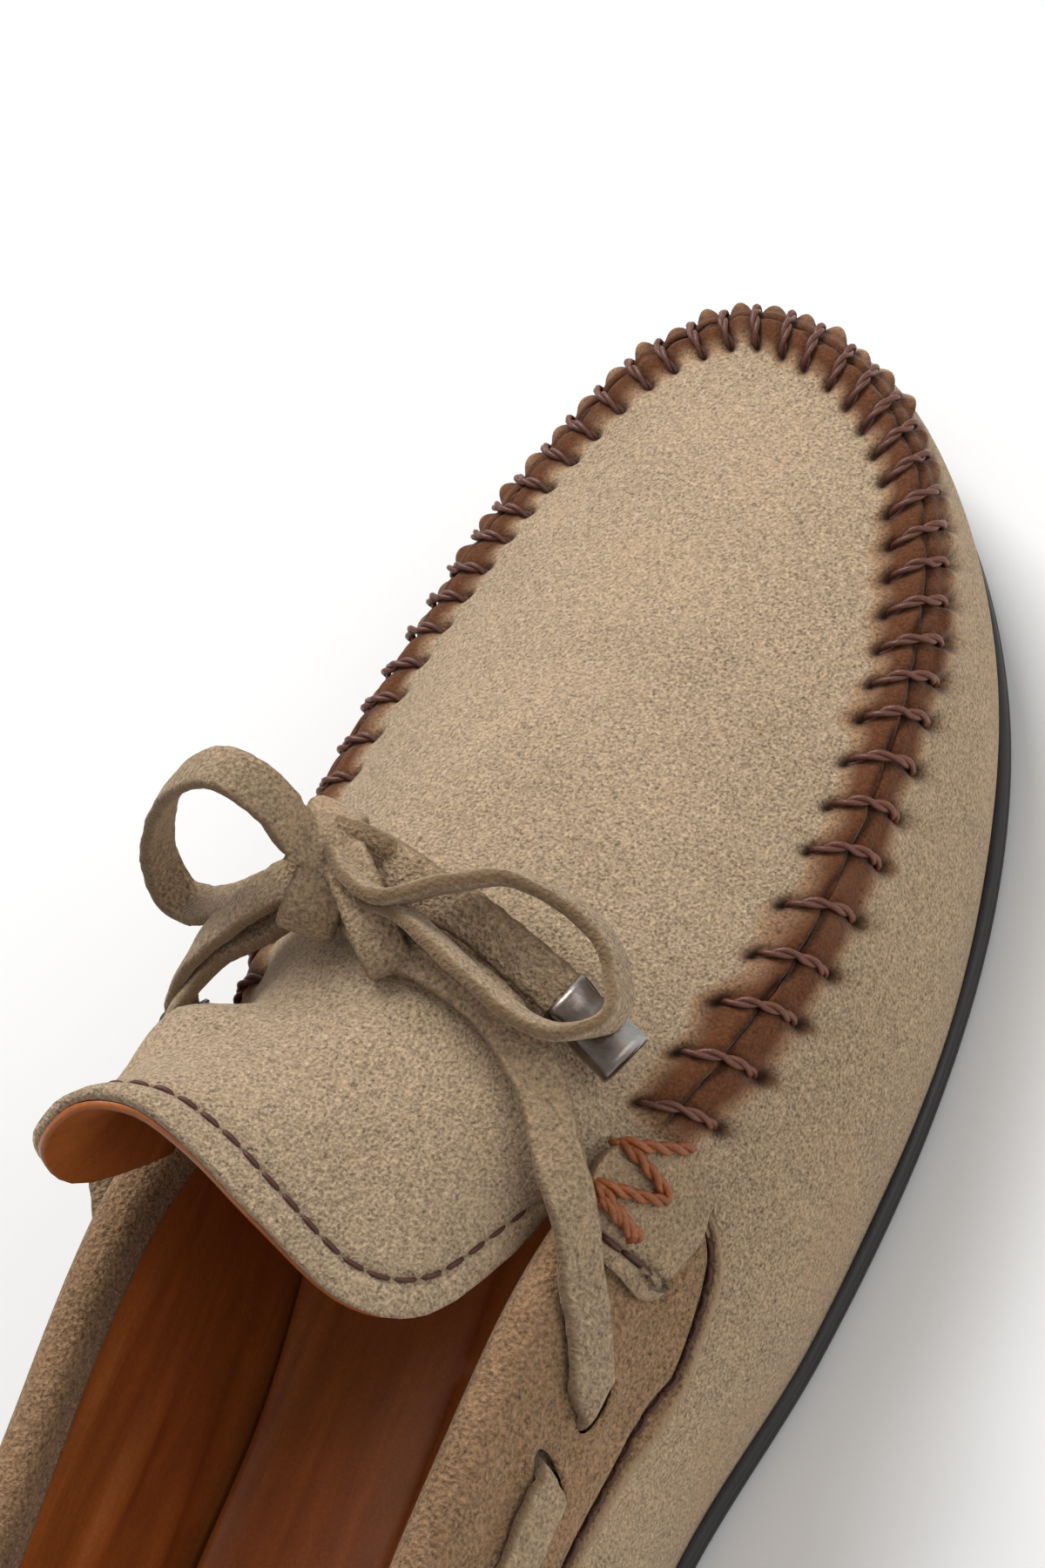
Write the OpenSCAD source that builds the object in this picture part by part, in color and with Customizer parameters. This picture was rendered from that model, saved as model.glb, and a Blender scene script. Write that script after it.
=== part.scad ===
// Right moccasin, laced collar type: sole, hand-sewn apron upper, tongue and bow.
// Millimetres. +Z up, +Y towards the toe, +X towards the wearer's right (the outer side).
// The origin is in the middle of the outsole's flat ground face.

/* [Sole] */
// Length of the outsole, heel to toe
sole_l = 290; // [250:1:320]
// Width of the outsole at the ball of the foot
sole_w = 100; // [85:1:115]
// Thickness of the rubber outsole
sole_t = 4; // [3:0.5:7]
// Height of the toe's underside above the ground
toe_spring = 9; // [0:1:14]
// Thickness of the insole board
board_t = 2; // [1:0.5:3]
// Thickness of the foam footbed
foam_t = 3; // [2:0.5:6]
// Thickness of the leather sock liner
sock_t = 1.2; // [0.8:0.2:2]

/* [Upper] */
// Height of the collar's top edge at the side of the ankle
collar_h = 57; // [45:1:75]
// Rise of the apron's crown above its seam, at the ears
crown_h = 25; // [16:1:32]
// How far the side wall swells past the sole's edge
bulge = 6; // [2:0.5:10]
// Thickness of the suede
suede_t = 1.4; // [1:0.1:2]
// Thickness of the lining leather
lining_t = 1; // [0.6:0.1:1.6]
// Thickness of the heel counter
counter_t = 0.8; // [0.4:0.1:1.2]
// Width of the wall's margin that is turned in under the foot
margin_w = 9; // [5:1:14]

/* [Collar and lace] */
// Width of the collar band
band_w = 23; // [18:1:32]
// Overlap of the collar band on the wall
band_lap = 6; // [4:1:9]
// Width of the lace
lace_w = 6.5; // [4:0.5:8]
// Thickness of the lace
lace_t = 2.2; // [1.4:0.2:3]
// Distance of the lace's middle below the collar's top edge
lace_drop = 12; // [9:0.5:15]
// Length of the aglets
aglet_l = 11; // [8:1:16]
// Width of the aglets
aglet_w = 7; // [5:0.5:9]
// Thickness of the aglets
aglet_t = 3; // [2:0.5:4]

/* [Stitches] */
// Distance from one hand stitch to the next along the apron seam
stitch_pitch = 6.4; // [5:0.2:9]
// Length of one hand stitch over the seam
stitch_l = 8; // [5:0.5:10]
// Diameter of the waxed thread
thread_d = 1.3; // [0.8:0.1:2]
// Diameter of the fine machine thread
fine_d = 0.8; // [0.5:0.1:1.2]

/* [Hidden] */

gap = 0.15;                    // clearance between two layers of leather
feather_in = 2;                // the wall meets the sole this far inside its edge

// The patterns are drawn for a model size and graded to the sizes above.
model_l = 290;
model_w = 100;
model_h = 57;
kx = sole_w / model_w;
ky = sole_l / model_l;
kz = (collar_h - sole_t) / (model_h - 4);

// Stations run round the shoe: 0 at the heel, 6 at the outer ear, 12 at the toe, 18 at the inner ear.
sole_edge = [
    [2, -145], [20, -140], [31, -125], [35, -98], [36, -66], [39, -36],
    [46, -4], [49.5, 30], [48, 63], [41, 92], [28, 117], [11, 135],
    [-8, 143], [-25, 138], [-38, 122], [-47, 95], [-50, 65], [-46, 32],
    [-38, -2], [-33, -36], [-33, -68], [-33, -98], [-29, -125], [-16, -140]
];
// The rim is the collar's top edge behind the ears and the apron's seam in front of them.
rim_edge = [
    [1, -140, 67], [16, -132, 64], [26, -109, 59], [29, -80, 57], [30, -50, 57], [32, -18, 57],
    [35, 5, 52], [41, 36, 44.5], [41, 66, 40], [37.5, 89, 38], [29.5, 110, 37], [15.5, 125.5, 37],
    [-4, 132.5, 38], [-20.5, 123, 37], [-30, 103, 37], [-35, 83, 38], [-37, 59, 41], [-35, 31, 47],
    [-29, 7, 53], [-33, -20, 58], [-34, -52, 56], [-32, -82, 56], [-26, -111, 59], [-13, -134, 64]
];
ear_out = 6;
ear_in = 18;
turn = 24;

// The tongue's free edge, from its outer corner to its inner corner.
tongue_edge = [
    [27, -6, 52.5], [26, -16, 58.5], [23, -26, 66], [17, -28.5, 74], [8, -24, 84], [-1, -19, 90],
    [-10, -16, 93.5], [-19, -17.5, 93], [-26, -23, 87], [-28.5, -23, 74], [-25, -11, 58]
];

// Each half of the lace leaves its first slot and climbs over the tongue to the knot.
route_outer = [
    [40, -25, 49], [39.5, -17, 54], [37.5, -8, 59], [33.5, 0, 63], [28.5, 6.5, 67], [21, 11.5, 71.5],
    [12, 14.5, 75], [3, 16, 75.5], [-4, 20, 75]
];
route_inner = [
    [-41, -24, 48.5], [-41, -15, 50.5], [-39.5, -6, 53.5], [-36, 2, 58], [-31.5, 8, 62.5], [-26, 13, 66.5],
    [-20, 16, 69], [-12, 20.5, 72.5]
];
// The bow's loops leave the knot and come back to it.
route_loop_outer = [
    [-5, 24, 80], [4.5, 22, 84], [11.5, 25, 81.5], [19, 27.5, 77], [27.5, 25.5, 71.5], [32.5, 20.5, 69],
    [34, 14.5, 70], [30, 10.5, 73], [25, 10.5, 76], [18, 13.5, 79], [8, 18, 80], [0, 20, 79]
];
route_loop_inner = [
    [-8, 24, 80], [-9, 24, 85], [-9.5, 25, 92], [-13.5, 26, 97], [-20.5, 26, 94.5], [-30.5, 25, 85],
    [-38, 23, 74], [-41, 20.5, 65.5], [-38, 19, 61.5], [-28.5, 19, 66.5], [-15.5, 22.5, 74]
];
// The tails run from the knot to the aglets.
route_tail_outer = [
    [-4, 26, 77], [2, 25, 77.5], [8, 23, 76], [13, 22, 74], [18, 20, 72], [23, 18, 69.5], [28, 15.5, 67]
];
route_tail_inner = [
    [-12, 21, 77], [-19, 15.5, 75.5], [-26, 11, 73], [-33, 7, 68.5], [-39, 4, 62], [-42.5, 2, 55]
];
lace_r = 2;                    // a round tube of the flat lace's own section
knot_at = [-8, 23.5, 76];
knot_d = 13;

// ---- curves ----
function mod_in(i, n) = (i % n + n) % n;
function spline(a, b, c, d, f) =
    0.5 * (2 * b + (c - a) * f + (2 * a - 5 * b + 4 * c - d) * f * f + (3 * b - a - 3 * c + d) * f * f * f);
function round_loop(p, s) =
    let (n = len(p), i = floor(s))
    spline(p[mod_in(i - 1, n)], p[mod_in(i, n)], p[mod_in(i + 1, n)], p[mod_in(i + 2, n)], s - i);
function along(p, s) =
    let (n = len(p), i = min(floor(s), n - 2))
    spline(p[max(i - 1, 0)], p[i], p[i + 1], p[min(i + 2, n - 1)], s - i);
function unit(v) = v / norm(v);
function mix(a, b, f) = a + (b - a) * f;
function steps(a, b, n) = [for (i = [0:n]) mix(a, b, i / n)];

// ---- the sole's edge and its toe spring ----
flat_end = 0.14 * sole_l;
function lift(y) = y < flat_end ? 0 : toe_spring * pow((y - flat_end) / (sole_l / 2 - flat_end), 2);
function edge_xy(s) = let (p = round_loop(sole_edge, s)) [p[0] * kx, p[1] * ky];
function edge_out(s) = let (t = unit(edge_xy(s + 0.05) - edge_xy(s - 0.05))) [t[1], -t[0]];
function edge_in(s, d) = edge_xy(s) - edge_out(s) * d;

// ---- the wall: a curve at each station from the sole, over the swell, to the rim ----
function rim(s) = let (p = round_loop(rim_edge, s)) [p[0] * kx, p[1] * ky, sole_t + (p[2] - 4) * kz];
function wall(s, t) =
    let (
        base = edge_in(s, feather_in),
        low = [base[0], base[1], sole_t + gap + lift(base[1])],
        top = rim(s),
        out = edge_out(s) * bulge,
        mid = [base[0] + out[0], base[1] + out[1], mix(low[2], top[2], 0.45)]
    )
    low * (1 - t) * (1 - t) + mid * 2 * t * (1 - t) + top * t * t;
function wall_out(s, t) = unit(cross(wall(s + 0.1, t) - wall(s - 0.1, t), wall(s, t + 0.03) - wall(s, t - 0.03)));
function wall_in(s, t, d) = wall(s, t) - wall_out(s, t) * d;
function wall_len(s) = norm(wall(s, 1) - wall(s, 0.5)) + norm(wall(s, 0.5) - wall(s, 0));
function down_from_rim(s, w) = 1 - w / wall_len(s);

// ---- the apron and the tongue: arched rows from the outer seam to the inner seam ----
seam_gap = suede_t + gap + 0.5; // from the wall's outer face to the apron's edge, at the seam
seam_low = 1.5;                // the apron starts this far below the top of the seam's ridge
function row_w(k) = norm(rim(ear_out + k) - rim(ear_in - k));
function in_row(k, inset) = (seam_gap + inset) / row_w(k);
function arch(u) = 1 - pow(abs(2 * u - 1), 2.2);
function apron(k, u) =
    mix(rim(ear_out + k), rim(ear_in - k), u)
    + [0, 0, crown_h * (1 - k / 6) * arch(u) - seam_low];
function tongue(u, v) =
    let (
        across = mix(in_row(0, 0), 1 - in_row(0, 0), u),
        start = apron(0, across),
        lead = apron(0.6, across),
        tip0 = along(tongue_edge, u * (len(tongue_edge) - 1)),
        tip = [tip0[0] * kx, tip0[1] * ky, rim(ear_out)[2] + tip0[2] - 52 + (crown_h - 25) * arch(u)],
        turn_pt = start + (start - lead) * 0.6
    )
    start * (1 - v) * (1 - v) + turn_pt * 2 * v * (1 - v) + tip * v * v;
function apron_up(k, u) = unit(cross(apron(k + 0.1, u) - apron(k - 0.1, u), apron(k, u + 0.02) - apron(k, u - 0.02)));
function tongue_up(u, v) =
    let (a = max(u - 0.03, 0), b = min(u + 0.03, 1))
    unit(cross(tongue(u, v + 0.03) - tongue(u, v - 0.03), tongue(a, v) - tongue(b, v)));

// ---- solids made from grids ----
// A sheet between two grids of the same size. Rows run round the shoe, columns run up it.
module sheet(outer, inner, ring = false) {
    rows = len(outer);
    cols = len(outer[0]);
    half = rows * cols;
    function id(i, j) = (i % rows) * cols + j;
    spans = ring ? rows - 1 : rows - 2;
    points = [for (g = [outer, inner]) for (row = g) for (p = row) p];
    faces = concat(
        [for (i = [0:spans]) for (j = [0:cols - 2]) for (f = [
            [id(i, j), id(i + 1, j + 1), id(i + 1, j)],
            [id(i, j), id(i, j + 1), id(i + 1, j + 1)],
            [half + id(i, j), half + id(i + 1, j), half + id(i + 1, j + 1)],
            [half + id(i, j), half + id(i + 1, j + 1), half + id(i, j + 1)]
        ]) f],
        [for (i = [0:spans]) for (f = [
            [id(i, 0), id(i + 1, 0), half + id(i + 1, 0)],
            [id(i, 0), half + id(i + 1, 0), half + id(i, 0)],
            [id(i, cols - 1), half + id(i + 1, cols - 1), id(i + 1, cols - 1)],
            [id(i, cols - 1), half + id(i, cols - 1), half + id(i + 1, cols - 1)]
        ]) f],
        ring ? [] : [for (j = [0:cols - 2]) for (f = [
            [id(0, j), half + id(0, j + 1), id(0, j + 1)],
            [id(0, j), half + id(0, j), half + id(0, j + 1)],
            [id(rows - 1, j), id(rows - 1, j + 1), half + id(rows - 1, j + 1)],
            [id(rows - 1, j), half + id(rows - 1, j + 1), half + id(rows - 1, j)]
        ]) f]
    );
    polyhedron(points, faces);
}

// A layer of the wall between depths d0 and d1, over the stations ss. from(s) and upto(s) are its edges.
module wall_layer(ss, low, high, cols, d0, d1, ring = false) {
    sheet(
        [for (i = [0:len(ss) - 1]) [for (t = steps(low[i], high[i], cols)) wall_in(ss[i], t, d0)]],
        [for (i = [0:len(ss) - 1]) [for (t = steps(low[i], high[i], cols)) wall_in(ss[i], t, d1)]],
        ring
    );
}

// A tube along points p, with the given number of sides.
module tube(p, r, sides) {
    n = len(p);
    function heading(i) = unit(p[min(i + 1, n - 1)] - p[max(i - 1, 0)]);
    function side_of(i) = unit(cross(heading(i), abs(heading(i)[2]) < 0.9 ? [0, 0, 1] : [1, 0, 0]));
    rings = [for (i = [0:n - 1]) let (h = heading(i), a = side_of(i), b = cross(h, a))
        [for (j = [0:sides - 1]) p[i] + r * (a * cos(360 * j / sides) + b * sin(360 * j / sides))]];
    points = [for (ring = rings) for (q = ring) q];
    faces = concat(
        [for (i = [0:n - 2]) for (j = [0:sides - 1]) let (k = (j + 1) % sides) for (f = [
            [i * sides + j, (i + 1) * sides + j, (i + 1) * sides + k],
            [i * sides + j, (i + 1) * sides + k, i * sides + k]
        ]) f],
        [[for (j = [0:sides - 1]) j]],
        [[for (j = [sides - 1:-1:0]) (n - 1) * sides + j]]
    );
    polyhedron(points, faces);
}

// ---- sole ----
module slab(inset, z0, thick) {
    outline = [for (s = [0:1/3:turn - 0.01]) edge_in(s, inset)];
    ys = steps(-sole_l * 0.6, sole_l * 0.6, 48);
    side = concat([for (y = ys) [y, z0 + lift(y)]], [for (i = [48:-1:0]) [ys[i], z0 + thick + lift(ys[i])]]);
    intersection() {
        linear_extrude(height = 80) polygon(outline);
        rotate([90, 0, 90]) linear_extrude(height = 2 * sole_w, center = true) polygon(side);
    }
}
inside = feather_in + max(suede_t + counter_t, lace_t) + lining_t + 3 * gap + 0.4;
board_z = sole_t + suede_t + 3 * gap;
foam_z = board_z + board_t + gap;
sock_z = foam_z + foam_t + gap;

module outsole() {
    color([0.10, 0.10, 0.11]) slab(0, 0, sole_t);
}
module insole_board() {
    color([0.62, 0.50, 0.36]) slab(inside, board_z, board_t);
}
module footbed_foam() {
    color([0.85, 0.80, 0.60]) slab(inside, foam_z, foam_t);
}
module sock_liner() {
    color([0.62, 0.36, 0.14]) slab(inside, sock_z, sock_t);
}

// ---- wall and lining ----
ring_stations = [for (i = [0:47]) i / 2];
function behind_ears(s) = s < ear_out - 0.1 || s > ear_in + 0.1;
function wall_top(s) = behind_ears(s) ? down_from_rim(s, band_w - band_lap) : 1;

module side_wall() {
    cols = 7;
    function margin(s, z) = let (q = edge_in(s, feather_in + margin_w)) [q[0], q[1], sole_t + gap + z + lift(q[1])];
    function corner(s) = let (q = edge_in(s, feather_in + suede_t)) [q[0], q[1], margin(s, suede_t)[2]];
    color([0.66, 0.56, 0.45]) sheet(
        [for (s = ring_stations) concat([margin(s, 0)],
            [for (t = steps(0, wall_top(s), cols)) wall_in(s, t, 0)])],
        [for (s = ring_stations) concat([margin(s, suede_t)],
            [for (t = steps(0, wall_top(s), cols)) t == 0 ? corner(s) : wall_in(s, t, suede_t)])],
        true
    );
}

lining_d = max(suede_t + counter_t, lace_t) + 2 * gap;
lining_cut = 5;                // the lining stops this far below the apron's seam
lining_low = 0.06;
module wall_lining() {
    color([0.66, 0.38, 0.15]) wall_layer(
        ring_stations,
        [for (s = ring_stations) lining_low],
        [for (s = ring_stations) behind_ears(s) ? 1 : down_from_rim(s, lining_cut)],
        7, lining_d, lining_d + lining_t, true
    );
}

counter_reach = 3.5;           // stations from the heel to each end of the counter
module heel_counter() {
    ss = steps(-counter_reach, counter_reach, 14);
    color([0.80, 0.76, 0.66]) wall_layer(
        ss, [for (s = ss) 0.08], [for (s = ss) 0.5 - 0.2 * abs(s) / counter_reach],
        5, suede_t + gap, suede_t + gap + counter_t
    );
}

// ---- apron and tongue ----
apron_end = 5.5;               // the row at the toe where the apron's piece ends
module apron_layer(d0, d1, inset) {
    ks = concat([0, 0.4], steps(1, 5, 8), [apron_end]);
    function row(k) = steps(in_row(k, inset), 1 - in_row(k, inset), 14);
    sheet(
        [for (k = ks) [for (u = row(k)) apron(k, u) - apron_up(k, u) * d0]],
        [for (k = ks) [for (u = row(k)) apron(k, u) - apron_up(k, u) * d1]]
    );
}
module apron_plug() {
    color([0.68, 0.58, 0.47]) apron_layer(0, suede_t, 0);
}
module plug_lining() {
    color([0.66, 0.38, 0.15]) apron_layer(suede_t + gap, suede_t + gap + lining_t, 3.5);
}
// The flap starts behind the apron: close at the crown, further back at the sides, which swing forward.
function flex_gap(u) = 0.02 + 0.22 * (1 - arch(u));
module tongue_layer(d0, d1, edge) {
    us = steps(1 - edge, edge, 24);
    function at(u, f, d) = let (v = mix(flex_gap(u), 1, f)) tongue(u, v) - tongue_up(u, v) * d;
    sheet(
        [for (f = steps(0, 1, 7)) [for (u = us) at(u, f, d0)]],
        [for (f = steps(0, 1, 7)) [for (u = us) at(u, f, d1)]]
    );
}
module tongue_flap() {
    color([0.68, 0.58, 0.47]) tongue_layer(0, suede_t, 0);
}
module tongue_lining() {
    color([0.66, 0.38, 0.15]) tongue_layer(suede_t + gap, suede_t + gap + lining_t, 0.01);
}
module tongue_thread() {
    color([0.28, 0.14, 0.08])
        tube([for (u = steps(0.04, 0.96, 30)) tongue(u, 0.86) + tongue_up(u, 0.86) * (fine_d / 2 + gap)], fine_d / 2, 4);
}

// ---- collar ----
band_from = 0.35;              // stations between the heel and the band's rear end
band_to = ear_out - 0.2;
band_d = -gap - suede_t;        // depth of the band's outer face
over_d = band_d - 2 * gap;      // depth of the inner face of what lies on the band
tab_reach = 0.9;                // stations from the heel to each side of the heel tab
// Stations of the lace slots from the ear to the heel. The lace goes in at the first, out at the next.
slots = [4.97, 4.6, 3.55, 3.1, 2.2];
slot_l = 9;
function side_s(s, side) = side > 0 ? s : turn - s;

module collar_band(side) {
    ss = [for (s = steps(band_from, band_to, 16)) side_s(s, 1)];
    order = side > 0 ? ss : [for (i = [len(ss) - 1:-1:0]) turn - ss[i]];
    difference() {
        wall_layer(order, [for (s = order) down_from_rim(s, band_w)], [for (s = order) 1], 5, band_d, -gap);
        for (s0 = slots) {
            s = side_s(s0, side);
            t = down_from_rim(s, lace_drop);
            n = wall_out(s, t);
            f = unit(wall(s + 0.1, t) - wall(s - 0.1, t));
            g = cross(n, f);
            c = wall_in(s, t, -gap - suede_t / 2);
            multmatrix([
                [f[0], g[0], n[0], c[0]], [f[1], g[1], n[1], c[1]], [f[2], g[2], n[2], c[2]], [0, 0, 0, 1]
            ]) cube([slot_l, lace_w + 1, 6 * suede_t], center = true);
        }
    }
}
module collar_band_outer() {
    color([0.55, 0.46, 0.37]) collar_band(1);
}
module collar_band_inner() {
    color([0.55, 0.46, 0.37]) collar_band(-1);
}
module collar_thread(side) {
    p = [for (s0 = steps(tab_reach + 0.1, band_to - 0.1, 20)) let (s = side_s(s0, side))
        wall_in(s, down_from_rim(s, band_w - 3), band_d - gap - fine_d / 2)];
    tube(p, fine_d / 2, 4);
}
module collar_thread_outer() {
    color([0.28, 0.14, 0.08]) collar_thread(1);
}
module collar_thread_inner() {
    color([0.28, 0.14, 0.08]) collar_thread(-1);
}
module heel_tab() {
    ss = steps(-tab_reach, tab_reach, 8);
    color([0.55, 0.46, 0.37]) wall_layer(
        ss, [for (s = ss) 0.3 + 0.2 * abs(s)], [for (s = ss) 1], 6, over_d - suede_t, over_d
    );
}
module ear_tab(side) {
    ss = steps(5.35, 6.05, 5);
    order = side > 0 ? ss : [for (i = [len(ss) - 1:-1:0]) turn - ss[i]];
    wall_layer(
        order, [for (s = order) down_from_rim(s, 10)], [for (s = order) down_from_rim(s, 0.5)],
        3, over_d - suede_t, over_d
    );
}
module ear_tab_outer() {
    color([0.64, 0.54, 0.43]) ear_tab(1);
}
module ear_tab_inner() {
    color([0.64, 0.54, 0.43]) ear_tab(-1);
}

// ---- hand stitches ----
module bar(a, b, d) {
    v = b - a;
    translate(a) rotate([0, acos(v[2] / norm(v)), atan2(v[1], v[0])]) cylinder(h = norm(v), d = d, $fn = 24);
}
function sum(v) = v * [for (x = v) 1];
seam_len = sum([for (s = [ear_out:ear_in - 1]) norm(rim(s + 1) - rim(s))]);
stitches = floor(seam_len / stitch_pitch);
module apron_stitches() {
    color([0.36, 0.17, 0.10]) for (i = [0:stitches - 1]) {
        s = mix(ear_out + 0.22, ear_in - 0.22, i / (stitches - 1));
        out = edge_out(s);
        c = rim(s) + [0, 0, thread_d / 2 + gap];
        lean = 0.3 * [-out[1], out[0]];
        half = [out[0] + lean[0], out[1] + lean[1], -0.25] * stitch_l / 2;
        bar(c - half, c + half, thread_d);
    }
}
module ear_stitches(side) {
    for (i = [0:3]) {
        s = side_s(5.55 + 0.14 * i, side);
        a = wall_in(s, down_from_rim(s, 8), over_d - suede_t - 2 * gap - thread_d / 2);
        b = wall_in(s + 0.12 * side, 1, over_d - suede_t - 2 * gap - thread_d / 2);
        bar(a, b, thread_d);
    }
}
module ear_stitches_outer() {
    color([0.50, 0.26, 0.10]) ear_stitches(1);
}
module ear_stitches_inner() {
    color([0.50, 0.26, 0.10]) ear_stitches(-1);
}

// ---- lace ----
module collar_lace(side) {
    under = gap + lace_t / 2;
    over = band_d - gap - lace_t / 2;
    // Depth of the lace's middle at station s0: it crosses the band at each slot.
    function crossing(s0, c) = min(max((c - s0) / 0.16 + 0.5, 0), 1);
    function share(s0) = [for (c = slots) crossing(s0, c)] * [1, -1, 1, -1, 1];
    function depth(s0) = mix(over, under, share(s0));
    s0s = steps(0.12, slots[0], 48);
    order = side > 0 ? s0s : [for (i = [len(s0s) - 1:-1:0]) s0s[i]];
    function strip(s0, dt, d) = let (s = side_s(s0, side)) wall_in(s, down_from_rim(s, lace_drop + dt), depth(s0) + d);
    sheet(
        [for (s0 = order) [for (dt = [lace_w / 2, -lace_w / 2]) strip(s0, dt, -lace_t / 2)]],
        [for (s0 = order) [for (dt = [lace_w / 2, -lace_w / 2]) strip(s0, dt, lace_t / 2)]]
    );
}
module collar_lace_outer() {
    color([0.63, 0.54, 0.43]) collar_lace(1);
}
module collar_lace_inner() {
    color([0.63, 0.54, 0.43]) collar_lace(-1);
}
lace_colour = [0.63, 0.54, 0.43];
module lace_outer() {
    color(lace_colour) tube(route_outer, lace_r, 8);
}
module lace_inner() {
    color(lace_colour) tube(route_inner, lace_r, 8);
}
module bow_loop_outer() {
    color(lace_colour) tube(route_loop_outer, lace_r, 8);
}
module bow_loop_inner() {
    color(lace_colour) tube(route_loop_inner, lace_r, 8);
}
module lace_tail_outer() {
    color(lace_colour) tube(route_tail_outer, lace_r, 8);
}
module lace_tail_inner() {
    color(lace_colour) tube(route_tail_inner, lace_r, 8);
}
module bow_knot() {
    color([0.60, 0.51, 0.40]) translate(knot_at) sphere(d = knot_d, $fn = 32);
}
// A flat metal ferrule pinched on the end of a tail, in line with it.
module aglet(route) {
    n = len(route);
    f = unit(route[n - 1] - route[n - 2]);
    g = unit(cross([0, 0, 1], f));
    h = cross(f, g);
    c = route[n - 1] + f * (aglet_l / 2 + gap);
    multmatrix([
        [f[0], g[0], h[0], c[0]], [f[1], g[1], h[1], c[1]], [f[2], g[2], h[2], c[2]], [0, 0, 0, 1]
    ]) cube([aglet_l, aglet_w, aglet_t], center = true);
}
module aglet_outer() {
    color([0.42, 0.40, 0.40]) aglet(route_tail_outer);
}
module aglet_inner() {
    color([0.42, 0.40, 0.40]) aglet(route_tail_inner);
}

outsole();
insole_board();
footbed_foam();
sock_liner();
side_wall();
wall_lining();
heel_counter();
apron_plug();
plug_lining();
tongue_flap();
tongue_lining();
collar_band_outer();
collar_band_inner();
heel_tab();
ear_tab_outer();
ear_tab_inner();
apron_stitches();
ear_stitches_outer();
ear_stitches_inner();
collar_thread_outer();
collar_thread_inner();
tongue_thread();
collar_lace_outer();
collar_lace_inner();
lace_outer();
lace_inner();
bow_loop_outer();
bow_loop_inner();
lace_tail_outer();
lace_tail_inner();
bow_knot();
aglet_outer();
aglet_inner();
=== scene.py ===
"""Right moccasin in taupe suede: hand-sewn apron, laced collar, open tongue and a tied bow.

Lengths are millimetres while a shape is worked out and metres in the finished meshes. +Z is up, +Y points to
the toe and +X to the wearer's right. Stations run round the shoe: 0 heel, 6 outer ear, 12 toe, 18 inner ear.
"""
from math import cos, pi, radians, sin

import bmesh
import bpy
import numpy as np
from mathutils import Matrix, Vector


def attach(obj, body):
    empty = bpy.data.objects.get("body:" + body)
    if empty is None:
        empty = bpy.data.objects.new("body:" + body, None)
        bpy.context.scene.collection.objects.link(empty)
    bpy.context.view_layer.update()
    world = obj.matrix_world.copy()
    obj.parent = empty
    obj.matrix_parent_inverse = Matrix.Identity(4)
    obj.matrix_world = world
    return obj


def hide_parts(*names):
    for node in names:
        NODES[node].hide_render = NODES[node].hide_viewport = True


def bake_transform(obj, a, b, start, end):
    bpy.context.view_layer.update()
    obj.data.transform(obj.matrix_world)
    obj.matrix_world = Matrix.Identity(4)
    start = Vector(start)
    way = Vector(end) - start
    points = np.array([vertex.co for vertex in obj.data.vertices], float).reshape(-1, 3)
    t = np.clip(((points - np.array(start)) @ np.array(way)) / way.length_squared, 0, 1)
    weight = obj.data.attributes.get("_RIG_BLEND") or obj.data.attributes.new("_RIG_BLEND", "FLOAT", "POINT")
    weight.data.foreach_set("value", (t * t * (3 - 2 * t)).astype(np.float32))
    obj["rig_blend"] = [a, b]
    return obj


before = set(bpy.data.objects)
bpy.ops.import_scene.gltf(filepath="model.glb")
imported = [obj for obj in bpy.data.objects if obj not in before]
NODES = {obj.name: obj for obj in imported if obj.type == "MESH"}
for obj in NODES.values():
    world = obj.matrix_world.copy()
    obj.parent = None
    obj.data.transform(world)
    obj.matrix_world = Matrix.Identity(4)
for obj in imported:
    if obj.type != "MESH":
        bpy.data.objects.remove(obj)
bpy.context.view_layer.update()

MM = 0.001
SHOE = "shoe"
TONGUE = "tongue"
HALVES = (("outer", 1), ("inner", -1))
rng = np.random.default_rng(11)

# ---- the pattern: the same guides as the working model ----
SOLE_T = 4.0
SUEDE = 1.4
LINING_T = 1.0
SOCK_T = 1.2
GAP = 0.15
FEATHER = 2.0                      # the wall's foot is this far inside the sole's edge
BULGE = 6.0                        # how far the wall swells past its foot
CROWN = 25.0                       # height of the apron's crown at the ears
SEAM_LOW = 1.5                     # the apron starts this far below the rim
TOE_SPRING = 9.0                   # height of the toe's underside above the floor
FLAT_END = 40.6                    # the sole lies flat behind this y and rises before it
HALF_LENGTH = 145.0
EAR_OUT, TOE, EAR_IN, TURN = 6.0, 12.0, 18.0, 24.0

sole_edge = np.array([
    [2, -145], [20, -140], [31, -125], [35, -98], [36, -66], [39, -36],
    [46, -4], [49.5, 30], [48, 63], [41, 92], [28, 117], [11, 135],
    [-8, 143], [-25, 138], [-38, 122], [-47, 95], [-50, 65], [-46, 32],
    [-38, -2], [-33, -36], [-33, -68], [-33, -98], [-29, -125], [-16, -140]], float)
rim_edge = np.array([
    [1, -140, 67], [16, -132, 64], [26, -109, 59], [29, -80, 57], [30, -50, 57], [32, -18, 57],
    [35, 5, 52], [41, 36, 44.5], [41, 66, 40], [37.5, 89, 38], [29.5, 110, 37], [15.5, 125.5, 37],
    [-4, 132.5, 38], [-20.5, 123, 37], [-30, 103, 37], [-35, 83, 38], [-37, 59, 41], [-35, 31, 47],
    [-29, 7, 53], [-33, -20, 58], [-34, -52, 56], [-32, -82, 56], [-26, -111, 59], [-13, -134, 64]], float)
tongue_edge = np.array([
    [27, -6, 52.5], [26, -16, 58.5], [23, -26, 66], [17, -28.5, 74], [8, -24, 84], [-1, -19, 90],
    [-10, -16, 93.5], [-19, -17.5, 93], [-26, -23, 87], [-28.5, -23, 74], [-25, -11, 58]], float)
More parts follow.
